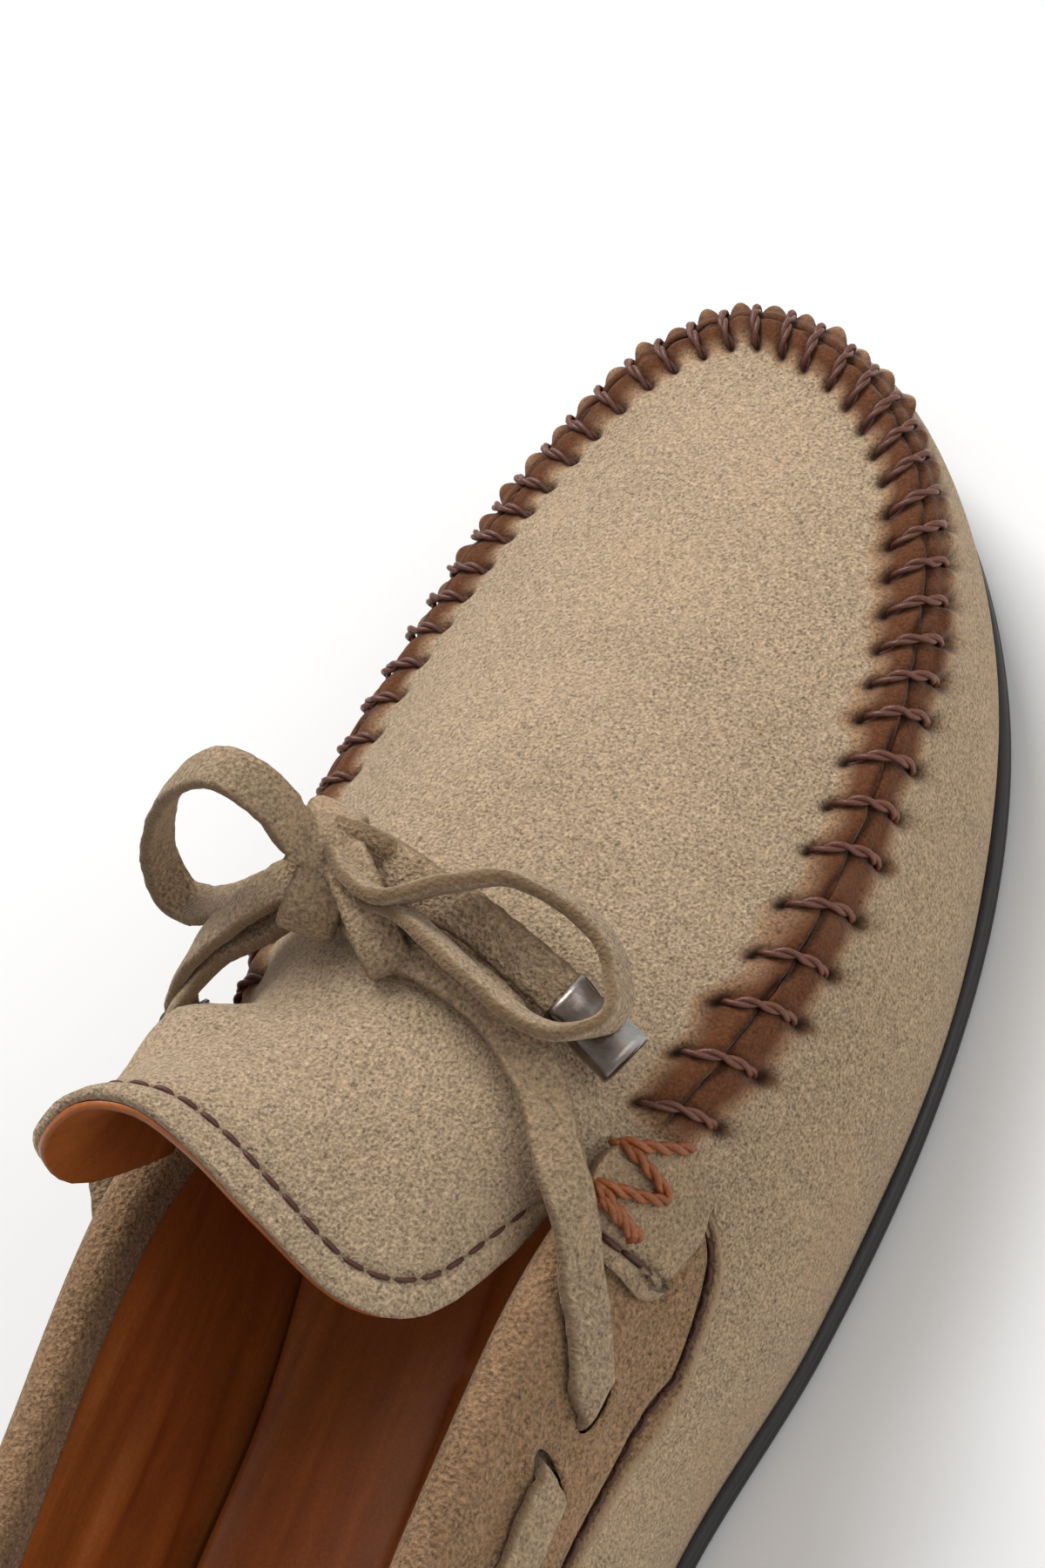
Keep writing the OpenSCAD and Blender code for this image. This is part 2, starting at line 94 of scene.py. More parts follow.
# The line along the middle of the apron on which its two halves meet, from the tongue to the toe.
spine = np.array([[3, 6], [3, 34], [2, 60], [0, 77], [-1.5, 90], [-2.5, 98], [-3, 101]], float)

route_outer = [
    [38.1, -24.7, 47.5], [37.2, -18.8, 52], [36, -13.8, 56.4], [34.8, -8.4, 60.7], [32, -2.6, 65.4],
    [27.3, 5.2, 69], [20.6, 11, 72], [12, 14.5, 75], [3, 16, 75.5], [-4, 20, 75]]
route_inner = [
    [-41, -24, 48.5], [-41, -15, 50.5], [-39.5, -6, 53.5], [-36, 2, 58], [-31.5, 8, 62.5], [-26, 13, 66.5],
    [-20, 16, 69], [-12, 20.5, 72.5]]
route_loop_outer = [
    [-5, 24, 80], [-0.5, 21, 82], [5.2, 19.2, 82.4], [12, 23.2, 81], [19.2, 27, 77], [27.5, 25.5, 71.5],
    [32.5, 20.5, 69], [34, 14.5, 70], [30, 10.5, 73], [25, 10.5, 76], [18, 13.5, 79], [8, 18, 80],
    [0, 20, 79]]
route_loop_inner = [
    [-8, 24, 80], [-9, 24, 85], [-9.5, 25, 92], [-13.5, 26, 97], [-20.5, 26, 94.5], [-30.5, 25, 85],
    [-38, 23, 74], [-41, 20.5, 65.5], [-38, 19, 61.5], [-28.5, 19, 66.5], [-15.5, 22.5, 74]]
route_tail_outer = [
    [-4, 26, 77], [2, 25, 77.5], [8, 23, 76], [13, 22, 74], [18, 20, 72], [23, 18, 69.5], [28, 15.5, 67]]
route_tail_inner = [
    [-12, 21, 77], [-18, 18, 75], [-24, 14.5, 71.5], [-30.5, 11, 66], [-36, 8, 58.5], [-40, 6, 50]]
KNOT = np.array([-8, 23.5, 76])


# ---- small maths ----
def unit(v):
    return v / np.maximum(np.linalg.norm(v, axis=-1, keepdims=True), 1e-9)


def smooth(a, b, x):
    """0 up to a and 1 from b on, with a soft step between."""
    t = np.clip((x - a) / (b - a), 0, 1)
    return t * t * (3 - 2 * t)


def bell(x, width):
    """1 in the middle and 0 a few widths away."""
    return np.exp(-(x / width) ** 2)


def mix(a, b, f):
    return a + (b - a) * f


def catmull(a, b, c, d, f):
    """A smooth curve through four points in a row, a share f of the way from b to c."""
    return 0.5 * (2 * b + (c - a) * f + (2 * a - 5 * b + 4 * c - d) * f**2 + (3 * b - a - 3 * c + d) * f**3)


def loop_at(guide, s):
    """A point of a closed curve through guide, counted in guide points."""
    s = np.asarray(s, float)
    i = np.floor(s).astype(int)
    a, b, c, d = (guide[(i + k) % len(guide)] for k in (-1, 0, 1, 2))
    return catmull(a, b, c, d, (s - i)[..., None])


def line_at(guide, s):
    """A point of an open curve through guide, counted in guide points."""
    guide = np.asarray(guide, float)
    s = np.asarray(s, float)
    i = np.clip(np.floor(s).astype(int), 0, len(guide) - 2)
    a, b, c, d = (guide[np.clip(i + k, 0, len(guide) - 1)] for k in (-1, 0, 1, 2))
    return catmull(a, b, c, d, (s - i)[..., None])


def lengths(points, axis=0):
    """Distance along a run of points, starting at 0."""
    step = np.linalg.norm(np.diff(points, axis=axis), axis=-1)
    start = np.zeros_like(np.take(step, [0], axis=axis))
    return np.concatenate([start, np.cumsum(step, axis=axis)], axis=axis)


def even(points, step):
    """The same line with points a regular distance apart."""
    points = np.asarray(points, float)
    run = lengths(points)
    n = max(int(round(run[-1] / step)), 2)
    at = np.linspace(0, run[-1], n + 1)
    return np.stack([np.interp(at, run, points[:, k]) for k in range(points.shape[1])], -1)


def curve(guide, step=0.6):
    """A smooth line through the guide points, with points a regular distance apart."""
    return even(line_at(guide, np.linspace(0, len(guide) - 1, 40 * len(guide))), step)


def ripple(points, size, seed, waves=7):
    """Soft unevenness from -1 to 1 in space, with bumps about size millimetres wide."""
    draw = np.random.default_rng(seed)
    ways = unit(draw.normal(size=(waves, 3))) * (2 * pi / (size * draw.uniform(1.2, 2.6, (waves, 1))))
    phase = draw.uniform(0, 2 * pi, waves)
    return np.sin(np.asarray(points) @ ways.T + phase).sum(-1) / waves**0.5 * 0.8


# ---- the shoe's surfaces ----
def lift(y):
    """How far the toe spring raises the sole at y."""
    return np.where(y < FLAT_END, 0, TOE_SPRING * ((y - FLAT_END) / (HALF_LENGTH - FLAT_END)) ** 2)


def edge_out(s):
    """The direction straight out from the sole's edge, in plan."""
    t = unit(loop_at(sole_edge, s + 0.05) - loop_at(sole_edge, s - 0.05))
    return np.stack([t[..., 1], -t[..., 0]], -1)


def edge_in(s, d):
    """A point d inside the sole's edge, in plan."""
    return loop_at(sole_edge, s) - edge_out(s) * np.asarray(d)[..., None]


def rim(s):
    """The wall's top edge, where the apron's seam and the collar are."""
    return loop_at(rim_edge, s)


def wall(s, t):
    """The wall's outer face: t is 0 at the sole and 1 at the rim."""
    s, t = np.broadcast_arrays(np.asarray(s, float), np.asarray(t, float))
    base = edge_in(s, np.full(s.shape, FEATHER))
    out = base + edge_out(s) * BULGE
    top = rim(s)
    low_z = SOLE_T + GAP + lift(base[..., 1])
    low = np.concatenate([base, low_z[..., None]], -1)
    mid = np.concatenate([out, mix(low_z, top[..., 2], 0.45)[..., None]], -1)
    t = t[..., None]
    return low * (1 - t) ** 2 + mid * 2 * t * (1 - t) + top * t * t


def wall_len(s):
    """The wall's height along its outer face."""
    s = np.asarray(s, float)
    mid = wall(s, 0.5)
    return np.linalg.norm(wall(s, 1.0) - mid, axis=-1) + np.linalg.norm(mid - wall(s, 0.0), axis=-1)


def wall_out(s, t):
    """The direction straight out of the wall's outer face."""
    return unit(np.cross(wall(s + 0.1, t) - wall(s - 0.1, t), wall(s, t + 0.03) - wall(s, t - 0.03)))


def on_wall(s, down, out):
    """A point at station s, so far down from the rim and so far outside the wall's outer face."""
    s, down, out = np.broadcast_arrays(*(np.asarray(x, float) for x in (s, down, out)))
    t = 1 - down / wall_len(s)
    return wall(s, t) + wall_out(s, t) * out[..., None]


def on_side(s, side):
    """Stations counted on the outer half of the shoe, moved to the inner half where side is -1."""
    return s if side > 0 else TURN - s


def seam_ends(s):
    """Fades the seam's colour out at the ears."""
    return smooth(EAR_OUT + 0.02, EAR_OUT + 0.2, s) * smooth(EAR_IN - 0.02, EAR_IN - 0.2, s)


def arch(u):
    """The apron's crown across the shoe: 0 at both seams and 1 in the middle."""
    return 1 - np.abs(2 * u - 1) ** 2.2


def apron(k, u):
    """The apron's top face: k is 0 at the ears and 6 at the toe, u goes from the outer to the inner seam."""
    z = CROWN * (1 - k / 6) * arch(u) - SEAM_LOW
    across = mix(rim(EAR_OUT + k), rim(EAR_IN - k), u[..., None])
    return across + np.stack([0 * z, 0 * z, z], -1)


ROW_K = np.linspace(0, 6, 361)
ROW_A = rim(EAR_OUT + ROW_K)[:, :2]
ROW_B = rim(EAR_IN - ROW_K)[:, :2]


def apron_z(plan):
    """Height of the apron over points in plan: finds the row that each point lies on."""
    flat = plan.reshape(-1, 2)
    ab = ROW_B - ROW_A
    side = (ab[:, 0] * (flat[:, None, 1] - ROW_A[:, 1]) - ab[:, 1] * (flat[:, None, 0] - ROW_A[:, 0]))
    behind = side > 0
    behind[:, 0] = False
    behind[:, -1] = True
    last = np.clip(behind.shape[1] - 1 - np.argmax(~behind[:, ::-1], axis=1), 0, len(ROW_K) - 2)
    pick = np.arange(len(flat))
    s0, s1 = side[pick, last], side[pick, last + 1]
    f = np.clip(s0 / np.where(np.abs(s0 - s1) < 1e-9, 1, s0 - s1), 0, 1)
    k = ROW_K[last] + f * (ROW_K[1] - ROW_K[0])
    a = mix(ROW_A[last], ROW_A[last + 1], f[:, None])
    b = mix(ROW_B[last], ROW_B[last + 1], f[:, None])
    u = ((flat - a) * (b - a)).sum(-1) / np.maximum(((b - a) ** 2).sum(-1), 1e-9)
    return apron(k, np.clip(u, 0, 1))[:, 2].reshape(plan.shape[:-1])


# ---- the sewn seam: its ridge, dimples, puckers and burnish ----
PITCH = 6.4                        # from one hand stitch to the next
SLANT = 0.42                       # how far a stitch leans forward for each millimetre outwards
PLUG_STITCH = 4.1                  # a stitch's hole is this far from the seam on the apron
WALL_STITCH = 6.0                  # and this far on the wall
MEET = -0.3                        # where the two leathers' edges meet on the ridge, towards the wall
REACH = 14.0                       # the seam shapes the leather this far on each side
Q_STEP = 0.25                      # from one column of the seam's net to the next
RIDGE = 1.9                        # height of the gathered ridge under the stitches


def seam_stations():
    """Stations along the seam about half a millimetre apart, the same on both halves of the shoe."""
    k = np.linspace(0, 6, 1201)
    run = (lengths(rim(EAR_OUT + k)) + lengths(rim(EAR_IN - k))) / 2
    steps = int(run[-1] / 0.5)
    half = np.interp(np.linspace(0, run[-1], steps + 1), run, k)
    return np.concatenate([EAR_OUT + half, (EAR_IN - half)[::-1][1:]])


def plug_lines(s):
    """For each station, a line of points from the seam to the spine, and its length so far."""
    k = np.where(s <= TOE, s - EAR_OUT, EAR_IN - s)
    r = np.linspace(0, 1, 150) ** 1.4
    start = rim(s)[:, None, :2]
    end = line_at(spine, k)[:, None]
    plan = mix(start, end, r[None, :, None])
    d = np.linalg.norm(end - start, axis=-1) * r
    z = apron_z(plan) + SEAM_LOW * np.exp(-d / 3)
    points = np.concatenate([plan, z[..., None]], -1)
    return points, lengths(points, axis=1)


def along_lines(points, run, q):
    """Points at distance q[i, j] along each line i."""
    return np.stack([
        np.stack([np.interp(q[i], run[i], points[i, :, c]) for c in range(3)], -1)
        for i in range(len(points))])


class Seam:
    """The surface near the seam on a net: rows are stations, columns run from the wall to the apron."""

    def __init__(self):
        self.s = seam_stations()
        self.lines, self.run = plug_lines(self.s)
        self.q = np.arange(-REACH - 2, REACH + 2 + Q_STEP / 2, Q_STEP)
        s, q = self.s, self.q
        self.arc = lengths(rim(s))
        out_q = q[q <= 0]
        in_q = np.broadcast_to(q[q > 0], (len(s), (q > 0).sum()))
        outer = wall(s[:, None], 1 + out_q / wall_len(s)[:, None])
        inner = along_lines(self.lines, self.run, in_q)
        base = np.concatenate([outer, inner], axis=1)
        self.base = base
        k = int(1.5 / Q_STEP)
        soft = base.copy()
        soft[:, k:-k] = 0.25 * base[:, :-2 * k] + 0.5 * base[:, k:-k] + 0.25 * base[:, 2 * k:]
        across = np.gradient(soft, axis=1)
        across[:, k:-k] = soft[:, 2 * k:] - soft[:, :-2 * k]
        self.normal = unit(np.cross(across, np.gradient(soft, axis=0)))
        self.normal[self.normal[..., 2].mean(1) < 0] *= -1
        self.stitches = self.stitch_arcs()
        rise, self.burnish, self.dark = self.relief()
        reach = smooth(REACH, REACH - 3, np.abs(q))[None, :, None]
        ends = (smooth(EAR_OUT, EAR_OUT + 0.2, s) * smooth(EAR_IN, EAR_IN - 0.2, s))[:, None, None]
        self.shift = ((soft - base) + self.normal * rise[..., None]) * reach * ends
        self.skin = base + self.shift

    def stitch_arcs(self):
        whole = np.arange(EAR_OUT, EAR_IN + 1)
        seam_len = np.linalg.norm(np.diff(rim(whole), axis=0), axis=1).sum()
        n = int(seam_len / PITCH)
        at = np.interp(np.linspace(EAR_OUT + 0.22, EAR_IN - 0.22, n), self.s, self.arc)
        return at + rng.uniform(-0.35, 0.35, n)

    def relief(self):
        q = self.q[None, :]
        lean = self.arc[:, None] - SLANT * -q
        order = np.arange(len(self.stitches))
        place = np.interp(lean, self.stitches, order)
        near = np.clip(np.round(place).astype(int), 0, len(order) - 1)
        off = lean - self.stitches[near]
        between = np.clip(np.floor(place).astype(int), 0, len(order) - 1)
        plump = rng.uniform(0.75, 1.25, len(order))[between]
        pillow = np.abs(np.sin(pi * (place - near))) ** 0.75
        pillow = np.where((place <= 0) | (place >= len(order) - 1), 0.6, pillow)
        toe = smooth(7.4, 9.8, self.s) * smooth(16.2, 14.2, self.s)
        toe = toe[:, None]
        ridge = RIDGE * np.exp(-np.abs((q + 0.8) / 3.3) ** 2.6)
        ridge = ridge * (1 - 0.26 * bell(off, 1.5)) * (0.92 + 0.08 * plump)
        thread = 0.2 * bell(off, 0.7) * smooth(5.2, 4.2, np.abs(q + 0.9))
        meet = MEET + 0.3 * np.sin(self.arc / 3.1)[:, None] + 0.2 * np.sin(self.arc / 1.3)[:, None]
        line = bell(q - meet, 0.42)
        wall_end = bell(np.hypot(q + WALL_STITCH, off), 1.15)
        plug_end = bell(np.hypot(q - PLUG_STITCH, off), 1.05)
        skirt = smooth(-13, -5.5, q) * smooth(-2.2, -4.2, q)
        pucker = mix(1.4, 3.0, toe) * plump * (pillow - 0.35) * skirt
        brow = 0.22 * (pillow - 0.4) * smooth(9, 5, q) * smooth(2.6, 4.2, q)
        rise = ridge - thread - 0.7 * line - 1.0 * wall_end - 1.05 * plug_end + pucker + brow
        uneven = ripple(self.base, 5, 3)
        wide = ripple(self.base, 16, 4)
        burnish = smooth(6.2, 1.2, q + 0.9 * uneven - 0.9 * bell(off, 1.6) + 0.7 * wide)
        wall_fade = mix(4.2, 3.4, toe) + 2.8 * bell(off, 1.3) + 0.6 * uneven + 0.7 * wide
        burnish = burnish * smooth(2.4, -2.0, -q - wall_fade)
        # Painted shade: the crack where the two leathers meet, the stitch holes, the creases between the
        # wall's puckers and the ridge beside each stitch are darkened in the colour.
        dark = np.maximum.reduce([
            0.9 * line * (0.7 + 0.3 * uneven), bell(np.hypot(q + WALL_STITCH, off), 1.25),
            bell(np.hypot(q - PLUG_STITCH, off), 1.15), 0.5 * bell(off, 0.9) * smooth(-10, -6, q) * (q < 0),
            0.5 * bell(off, 1.0) * smooth(5.5, 3, np.abs(q))])
        return rise, np.clip(burnish, 0, 1), np.clip(dark, 0, 1)

    def sample(self, field, s, q):
        """A field of the net at any stations and distances from the seam."""
        row = np.interp(s, self.s, np.arange(len(self.s)))
        col = np.clip((q - self.q[0]) / Q_STEP, 0, len(self.q) - 1.001)
        i = np.clip(np.floor(row).astype(int), 0, len(self.s) - 2)
        j = np.floor(col).astype(int)
        f, g = row - i, col - j
        if field.ndim == 3:
            f, g = f[..., None], g[..., None]
        return (field[i, j] * (1 - f) * (1 - g) + field[i + 1, j] * f * (1 - g)
                + field[i, j + 1] * (1 - f) * g + field[i + 1, j + 1] * f * g)


seam = Seam()


def wall_skin(s, down):
    """The wall's outer face with the seam's shape in it."""
    near = np.maximum(-down, -REACH)
    inside = ((s > EAR_OUT) & (s < EAR_IN))[..., None]
    plain = on_wall(s, down, 0)
    soft = ripple(plain, 34, 21)[..., None] * wall_out(s, 1 - down / wall_len(s)) * 0.45
    return plain + np.where(inside, seam.sample(seam.shift, s, near), 0) + soft


# ---- making meshes ----
# dark is painted shade: the colour is darkened in grooves, stitch holes and creases.
MARKS = ("burnish", "dark", "edge", "tone")


def start():
    """A new mesh with the layers that the materials read, and one for the push of thicken."""
    bm = bmesh.new()
    for name in MARKS:
        bm.verts.layers.float.new(name)
    bm.verts.layers.float_vector.new("push")
    return bm


def lay(bm, points, flip=False, **marks):
    """Adds a net of faces whose rows and columns of points stand where points says."""
    rows, cols = points.shape[:2]
    made = bmesh.ops.create_grid(bm, x_segments=cols - 1, y_segments=rows - 1, size=1.0)["verts"]
    for v, p in zip(made, (points * MM).reshape(-1, 3).tolist()):
        v.co = p
    for name, values in marks.items():
        layer = bm.verts.layers.float[name]
        values = np.broadcast_to(values, (rows, cols)).ravel().tolist()
        for v, x in zip(made, values):
            v[layer] = x
    if flip:
        faces = {f for v in made for f in v.link_faces}
        bmesh.ops.reverse_faces(bm, faces=list(faces))
    return made


def merge(bm, distance=0.02):
    """Joins points that lie on each other."""
    bmesh.ops.remove_doubles(bm, verts=bm.verts[:], dist=distance * MM)


def thicken(bm, thickness):
    """Gives every sheet in bm its thickness, under its outer face."""
    merge(bm)
    bm.normal_update()
    push = bm.verts.layers.float_vector["push"]
    for v in bm.verts:
        v[push] = v.normal * -thickness * MM
    grown = bmesh.ops.extrude_face_region(bm, geom=bm.faces[:], use_keep_orig=True)["geom"]
    for v in grown:
        if isinstance(v, bmesh.types.BMVert):
            v.co += v[push]


def finish_piece(bm, name, material, body, stands_for=(), blend=None):
    merge(bm, 0.004)
    bmesh.ops.recalc_face_normals(bm, faces=bm.faces[:])
    for f in bm.faces:
        f.smooth = True
    mesh = bpy.data.meshes.new(name)
    bm.to_mesh(mesh)
    bm.free()
    mesh.materials.append(material)
    obj = bpy.data.objects.new(name, mesh)
    bpy.context.scene.collection.objects.link(obj)
    if blend:
        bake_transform(obj, SHOE, TONGUE, start=blend[0], end=blend[1])
    else:
        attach(obj, body)
    if stands_for:
        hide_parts(*stands_for)
    return obj


def frame_of(path, side):
    """The heading of a line, and its two cross directions: along side, and square to both."""
    heading = unit(np.gradient(path, axis=0))
    side = np.broadcast_to(side, path.shape)
    wide = unit(side - heading * (side * heading).sum(-1, keepdims=True))
    return heading, wide, np.cross(heading, wide)


def pipe(bm, path, side, ring, scale=None, **marks):
    """Sweeps a closed ring of (across, up) points along a path and closes its two ends."""
    path = np.asarray(path, float)
    _, wide, up = frame_of(path, side)
    scale = np.ones(len(path)) if scale is None else scale
    ring = np.concatenate([ring, ring[:1]])
    scale = np.concatenate([[0], scale, [0]])[:, None, None]
    spot = np.concatenate([path[:1], path, path[-1:]])
    wide = np.concatenate([wide[:1], wide, wide[-1:]])
    up = np.concatenate([up[:1], up, up[-1:]])
    net = spot[:, None] + scale * (wide[:, None] * ring[None, :, :1] + up[:, None] * ring[None, :, 1:2])
    return lay(bm, net, **marks)


FUZZ = 0.12                        # the lace's cut edges are ragged by this much


def round_ring(radius, sides):
    a = np.linspace(0, 2 * pi, sides, endpoint=False)
    return np.stack([np.cos(a), np.sin(a)], -1) * radius


def strap_ring(width, thick):
    """A flat strap's section with soft corners."""
    a = np.linspace(0, 2 * pi, 20, endpoint=False)
    x = np.sign(np.cos(a)) * np.abs(np.cos(a)) ** 0.55
    y = np.sign(np.sin(a)) * np.abs(np.sin(a)) ** 0.6
    return np.stack([x * width / 2, y * thick / 2], -1)


def strap(bm, path, side, width, thick, seed=5):
    """A suede strap: a flat section with a slightly ragged edge."""
    ring = strap_ring(width, thick)
    path = np.asarray(path, float)
    made = pipe(bm, path, side, ring)
    edge_layer = bm.verts.layers.float["edge"]
    share = np.abs(np.concatenate([ring, ring[:1]])[:, 0]) / (width / 2)
    for v, e in zip(made, np.tile(share, len(path) + 2)):
        v[edge_layer] = e
    at = np.array([v.co for v in made]) / MM
    _, wide, up = frame_of(path, side)
    rows = np.clip(np.repeat(np.arange(-1, len(path) + 1), len(ring) + 1), 0, len(path) - 1)
    sign = np.tile(np.sign(np.concatenate([ring, ring[:1]])[:, 0]), len(path) + 2)
    ragged = ripple(at, 1.1, seed) * FUZZ + ripple(at, 5.0, seed + 1) * 0.16
    move = wide[rows] * (sign * ragged * np.tile(share, len(path) + 2) ** 2)[:, None]
    move += up[rows] * (ripple(at, 3.2, seed + 2) * 0.12)[:, None]
    for v, m in zip(made, (move * MM).tolist()):
        v.co = v.co + Vector(m)
    return made


def two_ply(bm, path, side, radius, twist):
    """A twisted thread: two plies wound round a path, one full turn every twist millimetres."""
    run = lengths(path)
    _, wide, up = frame_of(path, side)
    ends = np.clip(np.minimum(run, run[-1] - run) / (radius * 0.9) + 0.35, 0, 1) ** 0.5
    tone = np.concatenate([[0], run / run[-1], [1]])[:, None]
    for p in range(2):
        a = 2 * pi * (run / twist + p / 2)
        line = path + (wide * np.cos(a)[:, None] + up * np.sin(a)[:, None]) * radius * 0.5 * ends[:, None]
        pipe(bm, line, side, round_ring(radius * 0.6, 7), scale=ends, tone=tone)


# ---- materials ----
class Net:
    """Places nodes in a tree and joins them up."""

    def __init__(self, tree):
        self.tree = tree

    def add(self, kind, sockets=None, **settings):
        node = self.tree.nodes.new("ShaderNode" + kind)
        for key, value in settings.items():
            setattr(node, key, value)
        for key, value in (sockets or {}).items():
            target = node.inputs[key]
            if isinstance(value, bpy.types.NodeSocket):
                self.tree.links.new(value, target)
            else:
                target.default_value = value
        return node

    def noise(self, where, scale, detail=2.0, rough=0.5, distort=0.0):
        sockets = {"Vector": where, "Scale": scale, "Detail": detail, "Roughness": rough,
                   "Distortion": distort}
        return self.add("TexNoise", sockets).outputs["Fac"]

    def math(self, operation, a, b=0.0, c=0.0, clamp=False):
        node = self.add("Math", {0: a, 1: b}, operation=operation, use_clamp=clamp)
        if operation == "MULTIPLY_ADD":
            if isinstance(c, bpy.types.NodeSocket):
                self.tree.links.new(c, node.inputs[2])
            else:
                node.inputs[2].default_value = c
        return node.outputs[0]

    def fit(self, value, a, b, c=0.0, d=1.0):
        sockets = {"Value": value, "From Min": a, "From Max": b, "To Min": c, "To Max": d}
        return self.add("MapRange", sockets, clamp=True).outputs["Result"]

    def blend(self, f, a, b, mode="MIX"):
        node = self.add("Mix", {0: f, 6: a, 7: b}, data_type="RGBA", blend_type=mode)
        return node.outputs[2]

    def place(self):
        return self.add("TexCoord").outputs["Object"]

    def feed(self, node, **values):
        """Links values to a node's sockets, whose names are written with _ for a space."""
        for key, value in values.items():
            self.tree.links.new(value, node.inputs[key.replace("_", " ")])

    def grey(self, value):
        return self.add("CombineColor", {0: value, 1: value, 2: value}).outputs[0]


def group(name, inputs, outputs):
    """A new node group with its sockets."""
    tree = bpy.data.node_groups.new(name, "ShaderNodeTree")
    for label, kind, value in inputs:
        socket = tree.interface.new_socket(name=label, in_out="INPUT", socket_type="NodeSocket" + kind)
        if value is not None:
            socket.default_value = value
    for label, kind in outputs:
        tree.interface.new_socket(name=label, in_out="OUTPUT", socket_type="NodeSocket" + kind)
    net = Net(tree)
    return tree, net, tree.nodes.new("NodeGroupInput"), tree.nodes.new("NodeGroupOutput")


def tint(r, g, b):
    """A colour named by its everyday 0 to 255 values."""
    def linear(c):
        c /= 255
        return c / 12.92 if c <= 0.04045 else ((c + 0.055) / 1.055) ** 2.4
    return (linear(r), linear(g), linear(b), 1.0)


def make_nap_group():
    """Brushed suede: tufts that catch light and shade, brushed patches, burnished places, and painted shade
    where the Painted_Shade mask blends towards its colour.
    """
    tree, net, ins, outs = group("suede_nap", [
        ("Vector", "Vector", None), ("Colour", "Color", (0.4, 0.3, 0.2, 1)),
        ("Burnished", "Color", (0.1, 0.04, 0.015, 1)), ("Painted_Shade_Colour", "Color", (0.02, 0.01, 0.006, 1)),
        ("Tufts", "Float", 1500.0), ("Contrast", "Float", 0.5), ("Patches", "Float", 0.15),
        ("Burnish", "Float", 0.0), ("Painted_Shade", "Float", 0.0)],
        [("Color", "Color"), ("Roughness", "Float"), ("Height", "Float")])
    where = ins.outputs["Vector"]
    tufts = ins.outputs["Tufts"]
    fine = net.noise(where, tufts, 2.5, 0.62, 0.3)
    coarse = net.noise(where, net.math("MULTIPLY", tufts, 0.5), 2.0, 0.55, 0.6)
    pits = net.add("TexVoronoi", {"Vector": where, "Scale": net.math("MULTIPLY", tufts, 0.8),
                                  "Randomness": 1.0}).outputs["Distance"]
    patch = net.noise(where, 38.0, 3.0, 0.55, 0.4)
    broad = net.noise(where, 14.0, 2.0, 0.5, 0.2)
    speck = net.math("MULTIPLY_ADD", fine, 0.75, net.math("MULTIPLY", coarse, 0.25))
    light = net.fit(speck, 0.3, 0.7, -1.0, 1.0)
    light = net.math("MULTIPLY_ADD", net.fit(pits, 0.05, 0.55, -0.5, 0.3), 0.4, light)
    shade = net.math("MULTIPLY_ADD", light, ins.outputs["Contrast"], 1.0)
    cloud = net.math("ADD", net.fit(patch, 0.3, 0.7, -1.0, 1.0), net.fit(broad, 0.3, 0.7, -0.8, 0.8))
    shade = net.math("MULTIPLY_ADD", cloud, ins.outputs["Patches"], shade)
    base = net.blend(1.0, ins.outputs["Colour"], net.grey(shade), "MULTIPLY")
    rub = net.math("MULTIPLY_ADD", net.fit(patch, 0.3, 0.7, -0.5, 0.5), 0.25, ins.outputs["Burnish"])
    rub = net.math("MULTIPLY_ADD", light, 0.06, rub)
    rub = net.fit(rub, 0.08, 0.92)
    half = net.math("MULTIPLY", rub, net.math("SUBTRACT", 1.0, rub))
    warm = net.blend(net.math("MULTIPLY", half, 1.5, clamp=True), base, (1.0, 0.62, 0.36, 1), "MULTIPLY")
    rubbed = net.blend(1.0, ins.outputs["Burnished"],
                       net.grey(net.math("MULTIPLY_ADD", light, 0.45, 1.0)), "MULTIPLY")
    colour = net.blend(rub, warm, rubbed)
    # Painted shade: grooves, holes and creases are darkened towards the Painted_Shade_Colour.
    colour = net.blend(ins.outputs["Painted_Shade"], colour, ins.outputs["Painted_Shade_Colour"])
    rough = net.fit(rub, 0.0, 1.0, 0.98, 0.8)
    soft = net.math("SUBTRACT", 1.0, net.math("MULTIPLY", rub, 0.6))
    height = net.math("MULTIPLY", net.math("MULTIPLY_ADD", pits, 0.5, speck), soft)
    net.feed(outs, Color=colour, Roughness=rough, Height=height)
    return tree


def make_hide_group():
    """Smooth lining leather: fine pores, soft creases along the shoe, and uneven dye."""
    tree, net, ins, outs = group("smooth_hide", [
        ("Vector", "Vector", None), ("Colour", "Color", (0.4, 0.15, 0.04, 1)),
        ("Worn", "Color", (0.2, 0.06, 0.015, 1)), ("Streaks", "Float", 0.5)],
        [("Color", "Color"), ("Roughness", "Float"), ("Height", "Float")])
    where = ins.outputs["Vector"]
    drawn = net.add("Mapping", {"Vector": where, "Scale": (1.0, 0.12, 1.0)}).outputs["Vector"]
    pores = net.noise(where, 1900.0, 2.0, 0.6)
    crease = net.noise(drawn, 170.0, 4.0, 0.6, 0.8)
    stain = net.noise(where, 30.0, 4.0, 0.6, 0.5)
    f = net.fit(net.math("MULTIPLY_ADD", crease, 0.6, net.math("MULTIPLY", stain, 0.4)), 0.38, 0.62)
    f = net.math("MULTIPLY", f, ins.outputs["Streaks"])
    colour = net.blend(f, ins.outputs["Colour"], ins.outputs["Worn"])
    colour = net.blend(1.0, colour, net.grey(net.fit(pores, 0.25, 0.75, 0.86, 1.12)), "MULTIPLY")
    rough = net.fit(stain, 0.3, 0.7, 0.36, 0.55)
    height = net.math("MULTIPLY_ADD", pores, 0.25, crease)
    net.feed(outs, Color=colour, Roughness=rough, Height=height)
    return tree


NAP = make_nap_group()
HIDE = make_hide_group()


